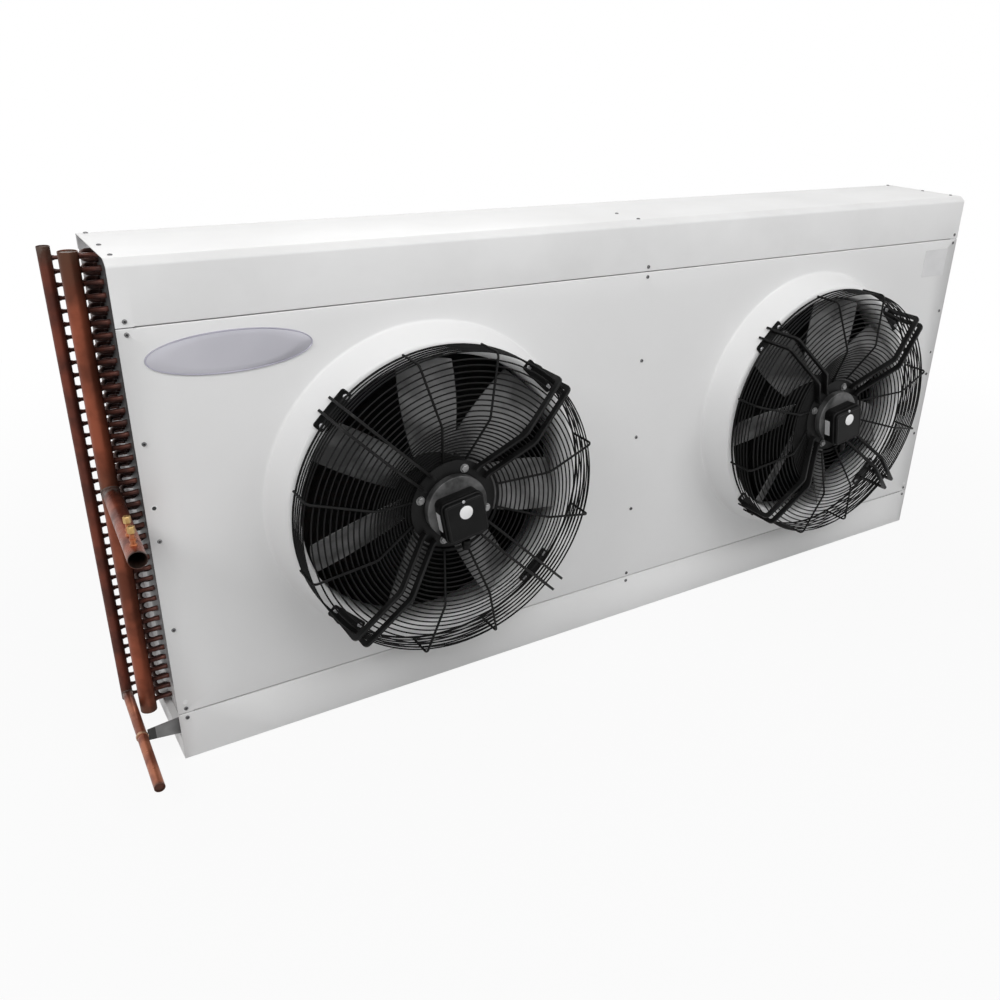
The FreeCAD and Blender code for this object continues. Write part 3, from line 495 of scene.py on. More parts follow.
def fine_grain(group, given):
    """Two noises of different size added, as a height for a bump."""
    fine = noise(group, given["Scale"], 2)
    wide = noise(group, product(group, given["Scale"], 0.12), 2)
    return maths(group, "ADD", fine, wide)


def settled_dust(group, given):
    """How far the surface faces up, times clouds, times Amount."""
    normal = group.nodes.new("ShaderNodeNewGeometry").outputs["Normal"]
    facing_up = span(group, axis_value(group, normal, "Z"), 0.3, 1)
    return product(group, product(group, facing_up, noise(group, given["Scale"], 5)), given["Amount"])


CLOUDS = effect("cloudy_mask", {"Scale": 5, "Detail": 4, "Low": 0.4, "High": 0.6}, "Mask", cloudy_mask)
GRAIN = effect("fine_grain", {"Scale": 400}, "Height", fine_grain)
DUST = effect("settled_dust", {"Amount": 0.3, "Scale": 9}, "Mask", settled_dust)


def shared(tree, group, **values):
    """Output of a shared effect with the given inputs."""
    node = tree.nodes.new("ShaderNodeGroup")
    node.node_tree = group
    for label, value in values.items():
        node.inputs[label].default_value = value
    return node.outputs[0]


def blotches(tree, scale, low, high):
    """Mask of clouds of one size."""
    return shared(tree, CLOUDS, Scale=scale, Detail=5, Low=low, High=high)


# Finishes

def finish(name, colour, second, roughness, metallic=0, patch_scale=60, low=0.35, high=0.65,
           rough_span=0.12, grain_scale=500, relief=0.02, dust=0, coat=0, specular=0.5):
    """Surface finish: two tones in clouds, roughness that drifts with them, fine relief and settled dust."""
    material = bpy.data.materials.new(name)
    material.use_nodes = True
    tree = material.node_tree
    shader = tree.nodes["Principled BSDF"]
    shader.inputs["Metallic"].default_value = metallic
    shader.inputs["Specular IOR Level"].default_value = specular
    shader.inputs["Coat Weight"].default_value = coat
    tone = mixed(tree, blotches(tree, patch_scale, low, high), colour, second)
    if dust:
        tone = mixed(tree, shared(tree, DUST, Amount=dust, Scale=11), tone, (0.55, 0.53, 0.5))
    feed(tree, shader.inputs["Base Color"], tone)
    streaks = shared(tree, CLOUDS, Scale=patch_scale * 4, Detail=3, Low=0.3, High=0.7)
    feed(tree, shader.inputs["Roughness"], span(tree, streaks, low=roughness, high=roughness + rough_span))
    bump = tree.nodes.new("ShaderNodeBump")
    bump.inputs["Strength"].default_value = relief
    bump.inputs["Distance"].default_value = 0.001
    feed(tree, bump.inputs["Height"], shared(tree, GRAIN, Scale=grain_scale))
    feed(tree, shader.inputs["Normal"], bump.outputs["Normal"])
    return material


def copper(name, colour, second, roughness, metallic, patch_scale, low=0.42, specular=0.2):
    """Large copper pipe: broad dark clouds and uneven shine."""
    return finish(name, colour, second, roughness, metallic, patch_scale, low, 0.6, 0.2, specular=specular)


def tinted(material, mask, colour, most=1):
    """Lay another colour over a finish by a mask, up to the given share."""
    tree = material.node_tree
    socket = tree.nodes["Principled BSDF"].inputs["Base Color"]
    tone = socket.links[0].from_socket
    feed(tree, socket, mixed(tree, product(tree, mask, most), tone, colour))
    return material


def burnt(material, bands, dark, ash):
    """Heat marks on copper: cloudy dark bands along an axis, with an ashen edge at the first."""
    tree = material.node_tree
    for axis, middle, half in bands:
        clouds = blotches(tree, 26, 0.3, 0.5)
        tinted(material, product(tree, band(tree, axis, middle, half), clouds), dark)
    axis, middle, half = bands[0]
    clouds = blotches(tree, 60, 0.5, 0.6)
    return tinted(material, product(tree, band(tree, axis, middle, half / 2), clouds), ash)


WHITE_PAINT = finish("white_paint", 0.73, 0.77, 0.36, 0, 1.6, grain_scale=900, dust=0.08, specular=0.3)
TOP_PAINT = finish("top_paint", 0.71, 0.77, 0.36, 0, 2.6, 0.42, 0.6, grain_scale=900, dust=0.22,
                   specular=0.12)
GALVANISED = finish("galvanised_plate", (0.42, 0.42, 0.43), (0.56, 0.56, 0.57), 0.42, 0.6, 38, 0.42, 0.58,
                    relief=0.03, dust=0.15)
END_PLATE = finish("end_plate", (0.52, 0.52, 0.525), (0.66, 0.66, 0.665), 0.45, 0.2, 30, relief=0.03)
# The pipe bracket's zinc is a darker copy of the galvanised finish: painted shade.
SHADED_BRACKET = finish("shaded_bracket", 0.15, 0.22, 0.4, 0.4, 30, relief=0.03)
FIN_SHEET = finish("fin_sheet", (0.80, 0.81, 0.82), (0.88, 0.89, 0.90), 0.4, 0.3, 5, relief=0.01)
COPPER = copper("drawn_copper", (0.29, 0.080, 0.042), (0.14, 0.040, 0.022), 0.34, 0.5, 9)
GAS_PIPE_COPPER = copper("gas_pipe_copper", (0.30, 0.082, 0.042), (0.13, 0.036, 0.022), 0.24, 0.6, 16)
OUTLET_COPPER = copper("outlet_copper", (0.42, 0.15, 0.08), (0.24, 0.075, 0.042), 0.26, 0.6, 22,
                       specular=0.4)
DARK_COPPER = copper("dark_copper", (0.17, 0.046, 0.028), (0.085, 0.028, 0.02), 0.38, 0.45, 14, low=0.4)
BEND_COPPER = finish("bend_copper", (0.065, 0.022, 0.016), (0.03, 0.013, 0.011), 0.34, 0.3, specular=0.3)
HAIRPIN_COPPER = finish("hairpin_copper", (0.32, 0.11, 0.06), (0.20, 0.065, 0.038), 0.3, 0.7, 40)
STUB_COPPER = finish("stub_copper", (0.09, 0.032, 0.024), (0.04, 0.018, 0.015), 0.35, 0.3, specular=0.3)
GAS_STUB_COPPER = finish("gas_stub_copper", (0.11, 0.034, 0.022), (0.05, 0.018, 0.014), 0.3, 0.4,
                         specular=0.35)
BRAZE = finish("braze", (0.17, 0.13, 0.11), (0.06, 0.045, 0.04), 0.5, 0.5, 90, relief=0.08)
# Near-black for the inside of the open inlet pipe: painted shade in its hollow.
PIPE_INSIDE_SHADE = finish("painted_pipe_shade", (0.035, 0.018, 0.013), (0.015, 0.01, 0.008), 0.5, 0.3, specular=0.2)
BRASS = finish("brass", (0.58, 0.40, 0.17), (0.42, 0.26, 0.10), 0.28, 0.85)
CLIP_METAL = finish("clip_metal", (0.50, 0.30, 0.19), (0.36, 0.20, 0.12), 0.3, 0.7)
VALVE_COPPER = finish("valve_copper", (0.50, 0.18, 0.07), (0.34, 0.11, 0.05), 0.28, 0.8)
RUBBER = finish("black_rubber", 0.025, 0.04, 0.7, 0, 30, relief=0.12)
BADGE = finish("badge_silver", (0.42, 0.415, 0.46), (0.50, 0.495, 0.54), 0.32, 0.4, 3, relief=0.01, coat=0.3)
BADGE_RIM = finish("badge_rim", (0.36, 0.35, 0.42), (0.46, 0.45, 0.52), 0.35, 0.5, 8, relief=0.01)
LABEL = finish("label_sheet", (0.60, 0.60, 0.605), (0.66, 0.66, 0.665), 0.35, 0.1, 20)
STICKER = finish("sticker_sheet", 0.82, 0.86, 0.4, 0, 30, relief=0.03)
ZINC = finish("zinc_screws", (0.36, 0.36, 0.37), (0.50, 0.50, 0.51), 0.35, 0.9, 90, relief=0.08)
BOLT_STEEL = finish("bolt_steel", 0.16, 0.30, 0.35, 0.6, 90, relief=0.03)
DARK_SCREW = finish("dark_screws", (0.10, 0.10, 0.105), 0.20, 0.4, 0.8, 90, relief=0.08)
BLACK_WIRE = finish("black_wire", 0.004, 0.008, 0.45, 0, 30, specular=0.1)
BLACK_ARM = finish("black_arms", 0.004, 0.010, 0.4, 0, 20, specular=0.14)
CASTING = finish("motor_casting", 0.12, 0.035, 0.42, 0.35, 22, 0.4, 0.62, relief=0.04, specular=0.3)
DARK_CASTING = finish("dark_casting", 0.004, 0.008, 0.5, 0, 26, relief=0.03, specular=0.1)
SHAFT_STEEL = finish("shaft_steel", 0.50, 0.60, 0.25, 1, relief=0.04)
BLADE_PAINT = finish("blade_paint", 0.08, 0.23, 0.3, 0, 9, 0.42, 0.6, specular=0.2)
BLACK_PLASTIC = finish("black_plastic", 0.0035, 0.006, 0.3, 0, 30, grain_scale=1200,
                       relief=0.008, specular=0.12)
# Near-black for screw recesses and the upper dimples' centres: painted shade.
HOLE_SHADE = finish("painted_hole_shade", 0.03, 0.05, 0.6, 0, 200, specular=0.1)


# Cabinet

def hood():
    """Hood outline with rounded folds carried along X: the seam flange is missing at both ends."""
    whole = [(BACK, HEIGHT - REAR_LIP), (BACK, HEIGHT), (FRONT + SLOPE_DEPTH, HEIGHT),
             (FRONT, HEIGHT - SLOPE_DROP), (FRONT, UPPER_SEAM[1]), (FRONT + SEAM_FLANGE, UPPER_SEAM[1])]
    radii = [FOLD_RADIUS, SLOPE_RADIUS, SLOPE_RADIUS, SEAM_FOLD]
    short = sheet_section(whole[:-1], radii[:-1])
    flanged = sheet_section(whole, radii)
    inner = (LEFT + CORNER_RELIEF, RIGHT - CORNER_RELIEF)
    parts = [folded([(LEFT, short), (inner[0], short)]), folded([(inner[0], flanged), (inner[1], flanged)]),
             folded([(inner[1], short), (RIGHT, short)])]
    piece("hood_sheet", parts, TOP_PAINT, "top_hood")


def rays_to_edge(count, x0, x1, z0, z1, x, z, more=()):
    """Angles from a centre, even ones and those to the rectangle's corners and to more marks, and where the
    rays at those angles leave the rectangle."""
    marks = [(x0, z0), (x0, z1), (x1, z0), (x1, z1), *more]
    special = np.mod([math.atan2(b - z, a - x) for a, b in marks], 2 * math.pi)
    even = circle(count)
    apart = np.abs(np.angle(np.exp(1j * (even[:, None] - special)))).min(axis=1)
    angle = np.sort(np.concatenate([even[apart > 0.012], special]))
    c, s = np.cos(angle), np.sin(angle)
    with np.errstate(divide="ignore"):
        tx = np.where(c > 0, (x1 - x) / c, (x0 - x) / c)
        tz = np.where(s > 0, (z1 - z) / s, (z0 - z) / s)
    reach = np.minimum(np.where(np.abs(c) < 1e-9, 1e9, tx), np.where(np.abs(s) < 1e-9, 1e9, tz))
    return angle, np.stack([x + reach * c, z + reach * s], axis=-1)


def seam_edge(level, way, inside, plain):
    """Edge of a front sheet along a seam: a flange bent back at the inside x, straight at the plain x."""
    bent = np.linspace(0, math.pi / 2, 5)
    depth = np.append(FRONT + SEAM_FOLD * (1 - np.cos(bent)), FRONT + SEAM_FLANGE)
    rise = np.append(level + way * SEAM_FOLD * np.sin(bent), level + way * SEAM_FOLD)
    edge = [(FRONT, level), (FRONT, level + way * SEAM_FOLD)]
    return [strip(np.stack([depth, rise], axis=-1), inside)] + [strip(edge, xs) for xs in plain]


def fan_panel():
    """Front sheet: rays from each fan's centre join its nozzle profile to the panel's outer rectangle, and
    a fold of quarter circles runs back along the two seams."""
    nozzle = rounded_path(NOZZLE_CORNERS, NOZZLE_RADII, 8)
    patches = []
    low, high = LOWER_SEAM[1] + SEAM_FOLD, UPPER_SEAM[0] - SEAM_FOLD
    relief = RIGHT - CORNER_RELIEF
    for side, x in FAN_X.items():
        x0, x1 = (LEFT, 0) if side == "left" else (0, RIGHT)
        corner = math.copysign(relief, x)
        angle, rim = rays_to_edge(160, x0, x1, low, high, x, FAN_Z, [(corner, low), (corner, high)])
        outer = xyz(rim[:, 0], FRONT, rim[:, 1])
        rings = [xyz(x + radius * np.cos(angle), FRONT - out, FAN_Z + radius * np.sin(angle))
                 for radius, out in nozzle]
        flat = [rings[0] + (outer - rings[0]) * share for share in (1, 0.66, 0.33)]
        patches.append(grid(np.array(flat + rings), wrap_cols=True))
        for level, way in ((low, -1), (high, 1)):
            xs = np.unique(np.round(rim[np.abs(rim[:, 1] - level) < 1e-6][:, 0], 6))
            off_relief = np.abs(xs) - relief
            patches += seam_edge(level, way, xs[off_relief <= 1e-3], [xs[off_relief >= -1e-3]])
    open_sheet("fan_panel_sheet", patches, "fan_panel", face_out)


def holed_base(x0, x1, y0, y1, x, y):
    """Flat base rectangle with a round hole: rays from the hole's centre to the rectangle."""
    angle, rim = rays_to_edge(32, x0, x1, y0, y1, x, y)
    hole = np.stack([x + HOLE_RADIUS * np.cos(angle), y + HOLE_RADIUS * np.sin(angle)], axis=-1)
    flat = np.array([rim, hole])
    return grid(xyz(flat[..., 0], flat[..., 1], 0), wrap_cols=True)


def bottom_panel():
    """Bottom sheet: front, base and rear lip as one folded strip, with the base split round its holes."""
    fold = FOLD_RADIUS
    top = LOWER_SEAM[0] - SEAM_FOLD
    front = rounded_path([(FRONT, top), (FRONT, 0), (FRONT + 2 * fold, 0)], [fold])
    rear = rounded_path([(BACK - 2 * fold, 0), (BACK, 0), (BACK, END_FLAP)], [fold])
    inner = [LEFT + CORNER_RELIEF, RIGHT - CORNER_RELIEF]
    middle = [RIGHT - 2 * HOLE_X, 2 * HOLE_X - RIGHT]
    stops = [LEFT, inner[0], *middle, inner[1], RIGHT]
    y0, y1 = FRONT + 2 * fold, BACK - 2 * fold
    patches = [strip(front, stops), strip(rear, stops), strip([(y0, 0), (0, 0), (y1, 0)], middle)]
    for x0, x1, x in ((LEFT, middle[0], -HOLE_X), (middle[1], RIGHT, HOLE_X)):
        patches.append(holed_base(x0, x1, y0, 0, x, -HOLE_Y))
        patches.append(holed_base(x0, x1, 0, y1, x, HOLE_Y))
    patches += seam_edge(top, 1, inner, [(LEFT, inner[0]), (inner[1], RIGHT)])
    open_sheet("bottom_panel_sheet", patches, "bottom_panel", face_away)


def end_flaps():
    """Upright ends of the bottom panel, each with a lip folded in to the tube plate."""
    flaps = []
    for side in (-1, 1):
        outer, inside, lip = side * RIGHT, side * (RIGHT - SHEET), side * (PLATE_X + 0.4)
        x = np.array([outer, outer, lip, lip, inside, inside])
        z = np.array([SHEET, END_FLAP, END_FLAP, END_FLAP - SHEET, END_FLAP - SHEET, SHEET])
        flaps.append(capped([xyz(x, y, z) for y in (FRONT + SHEET, BACK - SHEET)]))
    piece("bottom_end_flaps", flaps, WHITE_PAINT, bevel=0.4)


# Coil

def tube_places(row, x):
    """Ends of one row's tubes: the second and fourth rows sit half a pitch lower."""
    heights = TOP_TUBE - TUBE_PITCH * np.arange(TUBE_COUNT) - (TUBE_PITCH / 2 if row in (1, 3) else 0)
    return xyz(x, ROW_DEPTHS[row], heights)


def fins():
    """Thin plates side by side along the coil, and the tubes through them."""
    corners = [(FIN_FRONT, FIN_LOW), (FIN_BACK, FIN_LOW), (FIN_BACK, FIN_HIGH), (FIN_FRONT, FIN_HIGH)]
    plate = folded([(0, corners), (FIN_THICKNESS, corners)])
    places = xyz(np.linspace(-FIN_END, FIN_END - FIN_THICKNESS, FIN_COUNT), 0, 0)
    # The fins are painted near-black towards the front: painted shade between the fins.
    sheet = tinted(FIN_SHEET, along(FIN_SHEET.node_tree, "Y", 40, 10), 0.03)
    piece("coil_fins", [repeated(plate, places)], sheet, "fin_block", smooth=False)
    straight = bar([(-FIN_END, 0, 0), (FIN_END, 0, 0)], TUBE_RADIUS, 8)
    ends = np.concatenate([tube_places(row, 0) for row in range(4)])
    piece("coil_tubes", [repeated(straight, ends)], HAIRPIN_COPPER)


def u_bend(across, outward, sides=10, steps=10):
    """Half circle of tube between two ends that lie half of across either side of the origin, standing on two
    legs, with a belled cup at each foot."""
    radius = np.linalg.norm(across) / 2
    side = unit(across) * radius
    way = np.array([outward, 0, 0])
    turn = np.linspace(0, math.pi, steps + 1)[:, None]
    arc = way * (BEND_LEG + radius * np.sin(turn)) + side * np.cos(turn)
    feet = [0, 6, 7]
    line = [side + way * f for f in feet] + list(arc) + [-side + way * f for f in feet[::-1]]
    bell = [TUBE_RADIUS + 0.9, TUBE_RADIUS + 0.9, TUBE_RADIUS]
    return bar(line, bell + [TUBE_RADIUS] * len(arc) + bell[::-1], sides)


def bends():
    """Return bends at the left end and hairpin bends at the right, from the same half circle."""
    step = np.array([0, ROW_DEPTHS[2] - ROW_DEPTHS[1], TUBE_PITCH / 2])
    middle = (tube_places(1, -PLATE_X) + tube_places(2, -PLATE_X)) / 2
    # The outer crowns of the return bends are painted lighter and greyer: a painted highlight.
    material = tinted(BEND_COPPER, along(BEND_COPPER.node_tree, "X", -1204, -1211), (0.13, 0.085, 0.075))
    piece("return_bends", [repeated(u_bend(step, -1), middle)], material, "left_return_bends")
    both = []
    for row in (0, 2):
        middle = (tube_places(row, PLATE_X) + tube_places(row + 1, PLATE_X)) / 2
        both.append(repeated(u_bend(step * (1, 1, -1), 1), middle))
    piece("hairpin_bends", both, HAIRPIN_COPPER, "right_hairpin_bends")


def stubs(name, row, header_x, header_radius, radius, material, node):
    """Straight tubes from the plate to a header: a cup at the plate and a braze collar at the header."""
    length = -PLATE_X - (header_x + header_radius)
    x = -np.array([0, 5, 6.5, length - 5, length - 1.5, length])
    size = radius + np.array([0.8, 0.8, 0, 0, 1.2, 1.6])
    one = bar(xyz(x, 0, 0), size)
    piece(name, [repeated(one, tube_places(row, -PLATE_X))], material, node)


# Pipework

def header(name, x, y, radius, low, material):
    """Upright pipe with rounded rims, and the discs brazed inside its ends."""
    pipe = tube((x, y, low), (x, y, HEADER_TOP), radius, count=24)
    piece(name + "_header_pipe", [pipe], material, name + "_header")
    inner = radius - PIPE_WALL
    profile = ((1, -2), (1, 0.8), (0.9, 0.1), (0.5, -0.5), (0.05, -0.6))
    discs = []
    for z, way in ((low + DISC_DEPTH, -1), (HEADER_TOP - DISC_DEPTH, 1)):
        discs.append(placed(lathe([(inner * share, way * rise) for share, rise in profile]), (x, y, z)))
    piece(name + "_header_discs", discs, BRAZE, name + "_header_caps")


def headers():
    """The two upright pipes, each with heat marks at its brazed ends, and on the gas one at the inlet too."""
    gas = burnt(COPPER, [("Z", GAS_PIPE_END[2], 60), ("Z", HEADER_TOP, 110), ("Z", GAS_LOW, 70)],
                (0.10, 0.045, 0.028), (0.16, 0.11, 0.085))
    liquid = burnt(DARK_COPPER, [("Z", HEADER_TOP, 60), ("Z", LIQUID_LOW, 50)], (0.06, 0.034, 0.024),
                   (0.12, 0.085, 0.07))
    header("gas", GAS_X, GAS_Y, GAS_RADIUS, GAS_LOW, gas)
    header("liquid", LIQUID_X, LIQUID_Y, LIQUID_RADIUS, LIQUID_LOW, liquid)


def saddle(pipe_radius, header_radius, x, y, z):
    """Braze bead where a pipe along -Y leaves a header: the curve in which the two cylinders meet, as far out
    as the root of the header's radius squared less the distance across squared."""
    angle = circle(40)
    across = pipe_radius * np.cos(angle)
    reach = np.sqrt(np.maximum(header_radius ** 2 - across ** 2, 0))
    line = xyz(x + across, y - reach, z + pipe_radius * np.sin(angle))
    outward = unit(xyz(np.cos(angle), -0.6, np.sin(angle)))
    along_y = np.array([0, 1, 0])
    other = unit(along_y - outward * (outward @ along_y)[:, None])
    return looped(line[:, None, :] + BEAD_RADIUS * spun(outward, other, 6))


def dark_inside(thing, start, end, radius, material):
    """Give the faces nearer to a pipe's axis than the radius a darker finish: painted shade inside the pipe.
    """
    way = unit(np.array(end) - np.array(start))
    centres = np.array([face.center[:] for face in thing.data.polygons]) / MM - start
    away = np.linalg.norm(centres - (centres @ way)[:, None] * way, axis=1)
    second_material(thing, material, away < radius)


def gas_pipe():
    """Inlet pipe with an open end, painted near-black inside: painted shade."""
    start = (GAS_X, GAS_Y - GAS_RADIUS + 3, GAS_PIPE_END[2])
    material = burnt(GAS_PIPE_COPPER, [("Y", GAS_Y - GAS_RADIUS - 12, 45), ("Y", GAS_PIPE_END[1], 20)],
                     (0.03, 0.018, 0.015), (0.20, 0.17, 0.155))
    pipe = tube(start, GAS_PIPE_END, GAS_PIPE_RADIUS, 40)
    thing = piece("gas_inlet_tube", [pipe], material, "gas_inlet_pipe")
    dark_inside(thing, start, GAS_PIPE_END, GAS_PIPE_RADIUS - PIPE_WALL / 2, PIPE_INSIDE_SHADE)


def liquid_pipe():
    """Outlet pipe, closed by a disc just inside its end."""
    x, y, z = LIQUID_PIPE_END
    start = (LIQUID_X, LIQUID_Y - LIQUID_RADIUS + 3, z)
    pipe = tube(start, LIQUID_PIPE_END, LIQUID_PIPE_RADIUS)
    disc = bar([(x, y + 5, z), (x, y + 3, z)], LIQUID_PIPE_RADIUS - PIPE_WALL, 32)
    material = burnt(OUTLET_COPPER, [("Y", LIQUID_Y - LIQUID_RADIUS, 30), ("Y", y, 12)],
                     (0.08, 0.035, 0.025), (0.22, 0.17, 0.15))
    thing = piece("liquid_outlet_tube", [pipe, disc], material, "liquid_outlet_pipe")
    # The outlet pipe's inside takes the darker copper: painted shade.
    dark_inside(thing, start, LIQUID_PIPE_END, LIQUID_PIPE_RADIUS - PIPE_WALL / 2, DARK_COPPER)


def brazed_joints():
    """Beads where the inlet and the outlet pipe leave their headers."""
    beads = [saddle(GAS_PIPE_RADIUS, GAS_RADIUS, GAS_X, GAS_Y, GAS_PIPE_END[2]),
             saddle(LIQUID_PIPE_RADIUS, LIQUID_RADIUS, LIQUID_X, LIQUID_Y, LIQUID_PIPE_END[2])]
    piece("brazed_joints", beads, BRAZE)


def valves():
    """Two access valves on top of the inlet pipe, each with a hexagonal cap."""
    stem = ((7, -4), (7, 1.5), (5, 3), (5, 9), (6.2, 9.5), (6.2, 13), (4.6, 13.5), (4.6, 23))
    cap = ((6.2, 0), (7, 0.8), (7, 12.4), (6, 13.6), (3, 14))
    slope = (GAS_PIPE_END[0] - GAS_X) / (GAS_PIPE_END[1] - GAS_Y)
    z = GAS_PIPE_END[2] + GAS_RADIUS
    feet = []
    for setback in VALVE_SETBACKS:
        y = GAS_PIPE_END[1] + setback
        feet.append((GAS_X + slope * (y - GAS_Y), y, z))
    piece("valve_bodies", [repeated(lathe(stem, 24), feet)], VALVE_COPPER, "access_valves")
    caps = placed(repeated(lathe(cap, 6), feet), (0, 0, VALVE_HEIGHT))
    piece("valve_caps", [caps], BRASS, "access_valve_caps", bevel=0.3)


def clip():
    """Ring round the outlet pipe, at the place of the CAD's clip."""
    low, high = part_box("pipe_clip")
    centre = (np.array(low) + np.array(high)) / 2 / MM
    way = unit(np.array([(LIQUID_PIPE_END[0] - LIQUID_X) / (LIQUID_PIPE_END[1] - LIQUID_Y), 1, 0]))
    profile = ((-3.6, 11.05), (-3.6, 12.2), (-3, 12.6), (3, 12.6), (3.6, 12.2), (3.6, 11.05))
    rings = [centre + way * shift + radius * hoop(way, 32) for shift, radius in profile]
    piece("clip_ring", [looped(rings)], CLIP_METAL, "pipe_clip")


# Plates and screws

def badge():
    """Bare oval: rings of one ellipse shrunk inwards make a rim, a groove and a crowned face."""
    half_x, half_z = BADGE_HALF
    share = np.array([1, 1, 0.985, 0.955, 0.935, 0.925, 0.7, 0.4, 0.02])[:, None]
    rise = np.array([0, 1.6, 2.9, 2.9, 1.9, 2.1, 2.5, 2.8, 3])[:, None]
    angle = circle(128)
    inset = (1 - share) * half_z
    narrower = np.where(share > 0.9, 1, share / 0.925)
    points = xyz(BADGE_X + (half_x - inset) * np.cos(angle) * narrower, FRONT - rise,
                 BADGE_Z + (half_z - inset) * np.sin(angle))
    thing = piece("badge_oval", [capped(points)], BADGE_RIM, "badge_plate")
    rim_rings, face_rings = 5, 3
    picks = np.repeat([False] * rim_rings + [True] * face_rings, len(angle))
    second_material(thing, BADGE, [*picks, False, True])


def rating_plate():
    """Bare thin plate with rounded corners."""
    outline = rounded_outline(*RATING_SIZE, 3)
    rings = [xyz(RATING_X + outline[:, 0] * share, FRONT - out, RATING_Z + outline[:, 1] * share)
             for out, share in ((0, 1), (0.6, 1), (0.8, 0.996))]
    piece("rating_plate_sheet", [capped(rings)], LABEL, "rating_plate")


def screw_row(name, head, places, node):
    """Pan heads at the given places, with painted shade in each recess."""
    thing = piece(name, [repeated(head, places)], DARK_SCREW, node)
    recess = [False] * (4 * HEAD_SIDES) + [True] * (2 * HEAD_SIDES) + [False, True]
    second_material(thing, HOLE_SHADE, np.tile(recess, len(places)))


def screws():
    """Pan heads in three columns on the front and along the top, and the pressed dimples between them."""
    head = pan_head(SCREW_RADIUS, SCREW_HEIGHT)
    front = [(x, FRONT, z) for x in (-SCREW_X, 0, SCREW_X) for z in FRONT_SCREW_Z]
    screw_row("front_screw_heads", facing(head), front, "front_screws")
    top = [(x, FRONT + depth, HEIGHT) for x in (-SCREW_X, SCREW_X) for depth in END_SCREW_DEPTHS]
    top += [(MIDDLE_SCREW_X, FRONT + depth, HEIGHT) for depth in MIDDLE_SCREW_DEPTHS]
    screw_row("top_screw_heads", head, top, "top_screws")
    dimple = facing(lathe(((5.8, -0.2), (5.4, 0.3), (4.9, 0.5), (4.4, 0.35), (4.2, 0.1)), 20))
    for name, z in DIMPLE_Z.items():
        places = [(x, FRONT, z) for x in (-SCREW_X, SCREW_X)]
        thing = piece(name + "_dimples", [repeated(dimple, places)], WHITE_PAINT)
        if name == "upper":
            # The upper dimples' centres are painted near-black: painted shade of an open hole.
            second_material(thing, HOLE_SHADE, [len(face.vertices) > 4 for face in thing.data.polygons])


# Fans

def guard_profile():
    """Places of the guard's rings as (radius, distance out): hub ring, inner cone, outer cone and side."""
    hub, kink, rim = np.array(GUARD_HUB), np.array(GUARD_KINK), np.array(GUARD_RIM)
    rings = [hub + unit(kink - hub) * (9.3 + 10.33 * k) for k in range(11)]
    rings += [kink + unit(rim - kink) * d
              for d in (4, 15, 26.2, 37.3, 48.8, 60.5, 72.3, 84.2, 96.3, 108.8, 121)]
    return rings + [rim - (0, d) for d in (10, 21.5, 32.7, 43, 54, 65)]


def ring(x, radius, out, wire):
    """Wire ring: a small circle of the wire carried round the fan's axis."""
    turn = circle(6)
    return turned(x, xyz(radius + wire * np.cos(turn), out + wire * np.sin(turn)), sides=144)


def guard(side, x):
    """Fine rings, a flat ring at the hub, and eight wires bent over the dish and down the side."""
    rings = [ring(x, radius, out, RING_WIRE) for radius, out in guard_profile()]
    rings.append(ring(x, *GUARD_REAR, REAR_WIRE))
    rings.append(turned(x, [(106.5, 129.2), (112, 131.8), (112, 133), (106.5, 130.6)]))
    piece(side + "_guard_rings", rings, BLACK_WIRE, side + "_fan_guard")
    lift = RING_WIRE + SPOKE_WIRE - 0.8
    outer = GUARD_RIM[0] + lift - 0.6
    path = rounded_path([(107, 130.5 + lift), (GUARD_KINK[0], GUARD_KINK[1] + lift),
                         (outer, GUARD_RIM[1] + lift), (outer, 90.5)], [24, 14], 8)
    line = xyz(path[:, 0], 0, path[:, 1])
    spokes = [bar(radial(line, x, angle), SPOKE_WIRE, 8) for angle in SPOKE_ANGLES]
    piece(side + "_guard_spokes", spokes, BLACK_WIRE)


def arm_section():
    """Outline of an arm seen from its side as (radius, distance out), with rounded bends."""
    lower = rounded_path([(86, HUB_OUT), (100, HUB_OUT), (215, 190), (ARM_REACH, 168),
                          (ARM_REACH, 80)], [20, 24, 6], 6)
    outer, top = ARM_REACH + 12, HUB_OUT + ARM_DEPTH
    upper = rounded_path([(86, top), (97, top), (212, 190.6 + ARM_DEPTH), (outer, 166 + ARM_DEPTH),
                          (outer, 100)], [20, 30, 16], 6)
    tip = np.array([(356, 80), (356, 67), (360, 67), (360, 90)])
    return np.concatenate([lower, tip, upper[::-1]])


def arms(side, x):
    """Four pairs of flat bars on edge: one outline, given its thickness aside of the pair's middle line."""
    outline = arm_section()
    bars = []
    for angle in ARM_ANGLES:
        for aside in (-ARM_SPACING / 2, ARM_SPACING / 2):
            bars.append(capped([radial(xyz(outline[:, 0], aside + half, outline[:, 1]), x, angle)
                                for half in (-ARM_THICKNESS / 2, ARM_THICKNESS / 2)]))
    piece(side + "_arm_bars", bars, BLACK_ARM, side + "_mounting_arms", bevel=0.8)


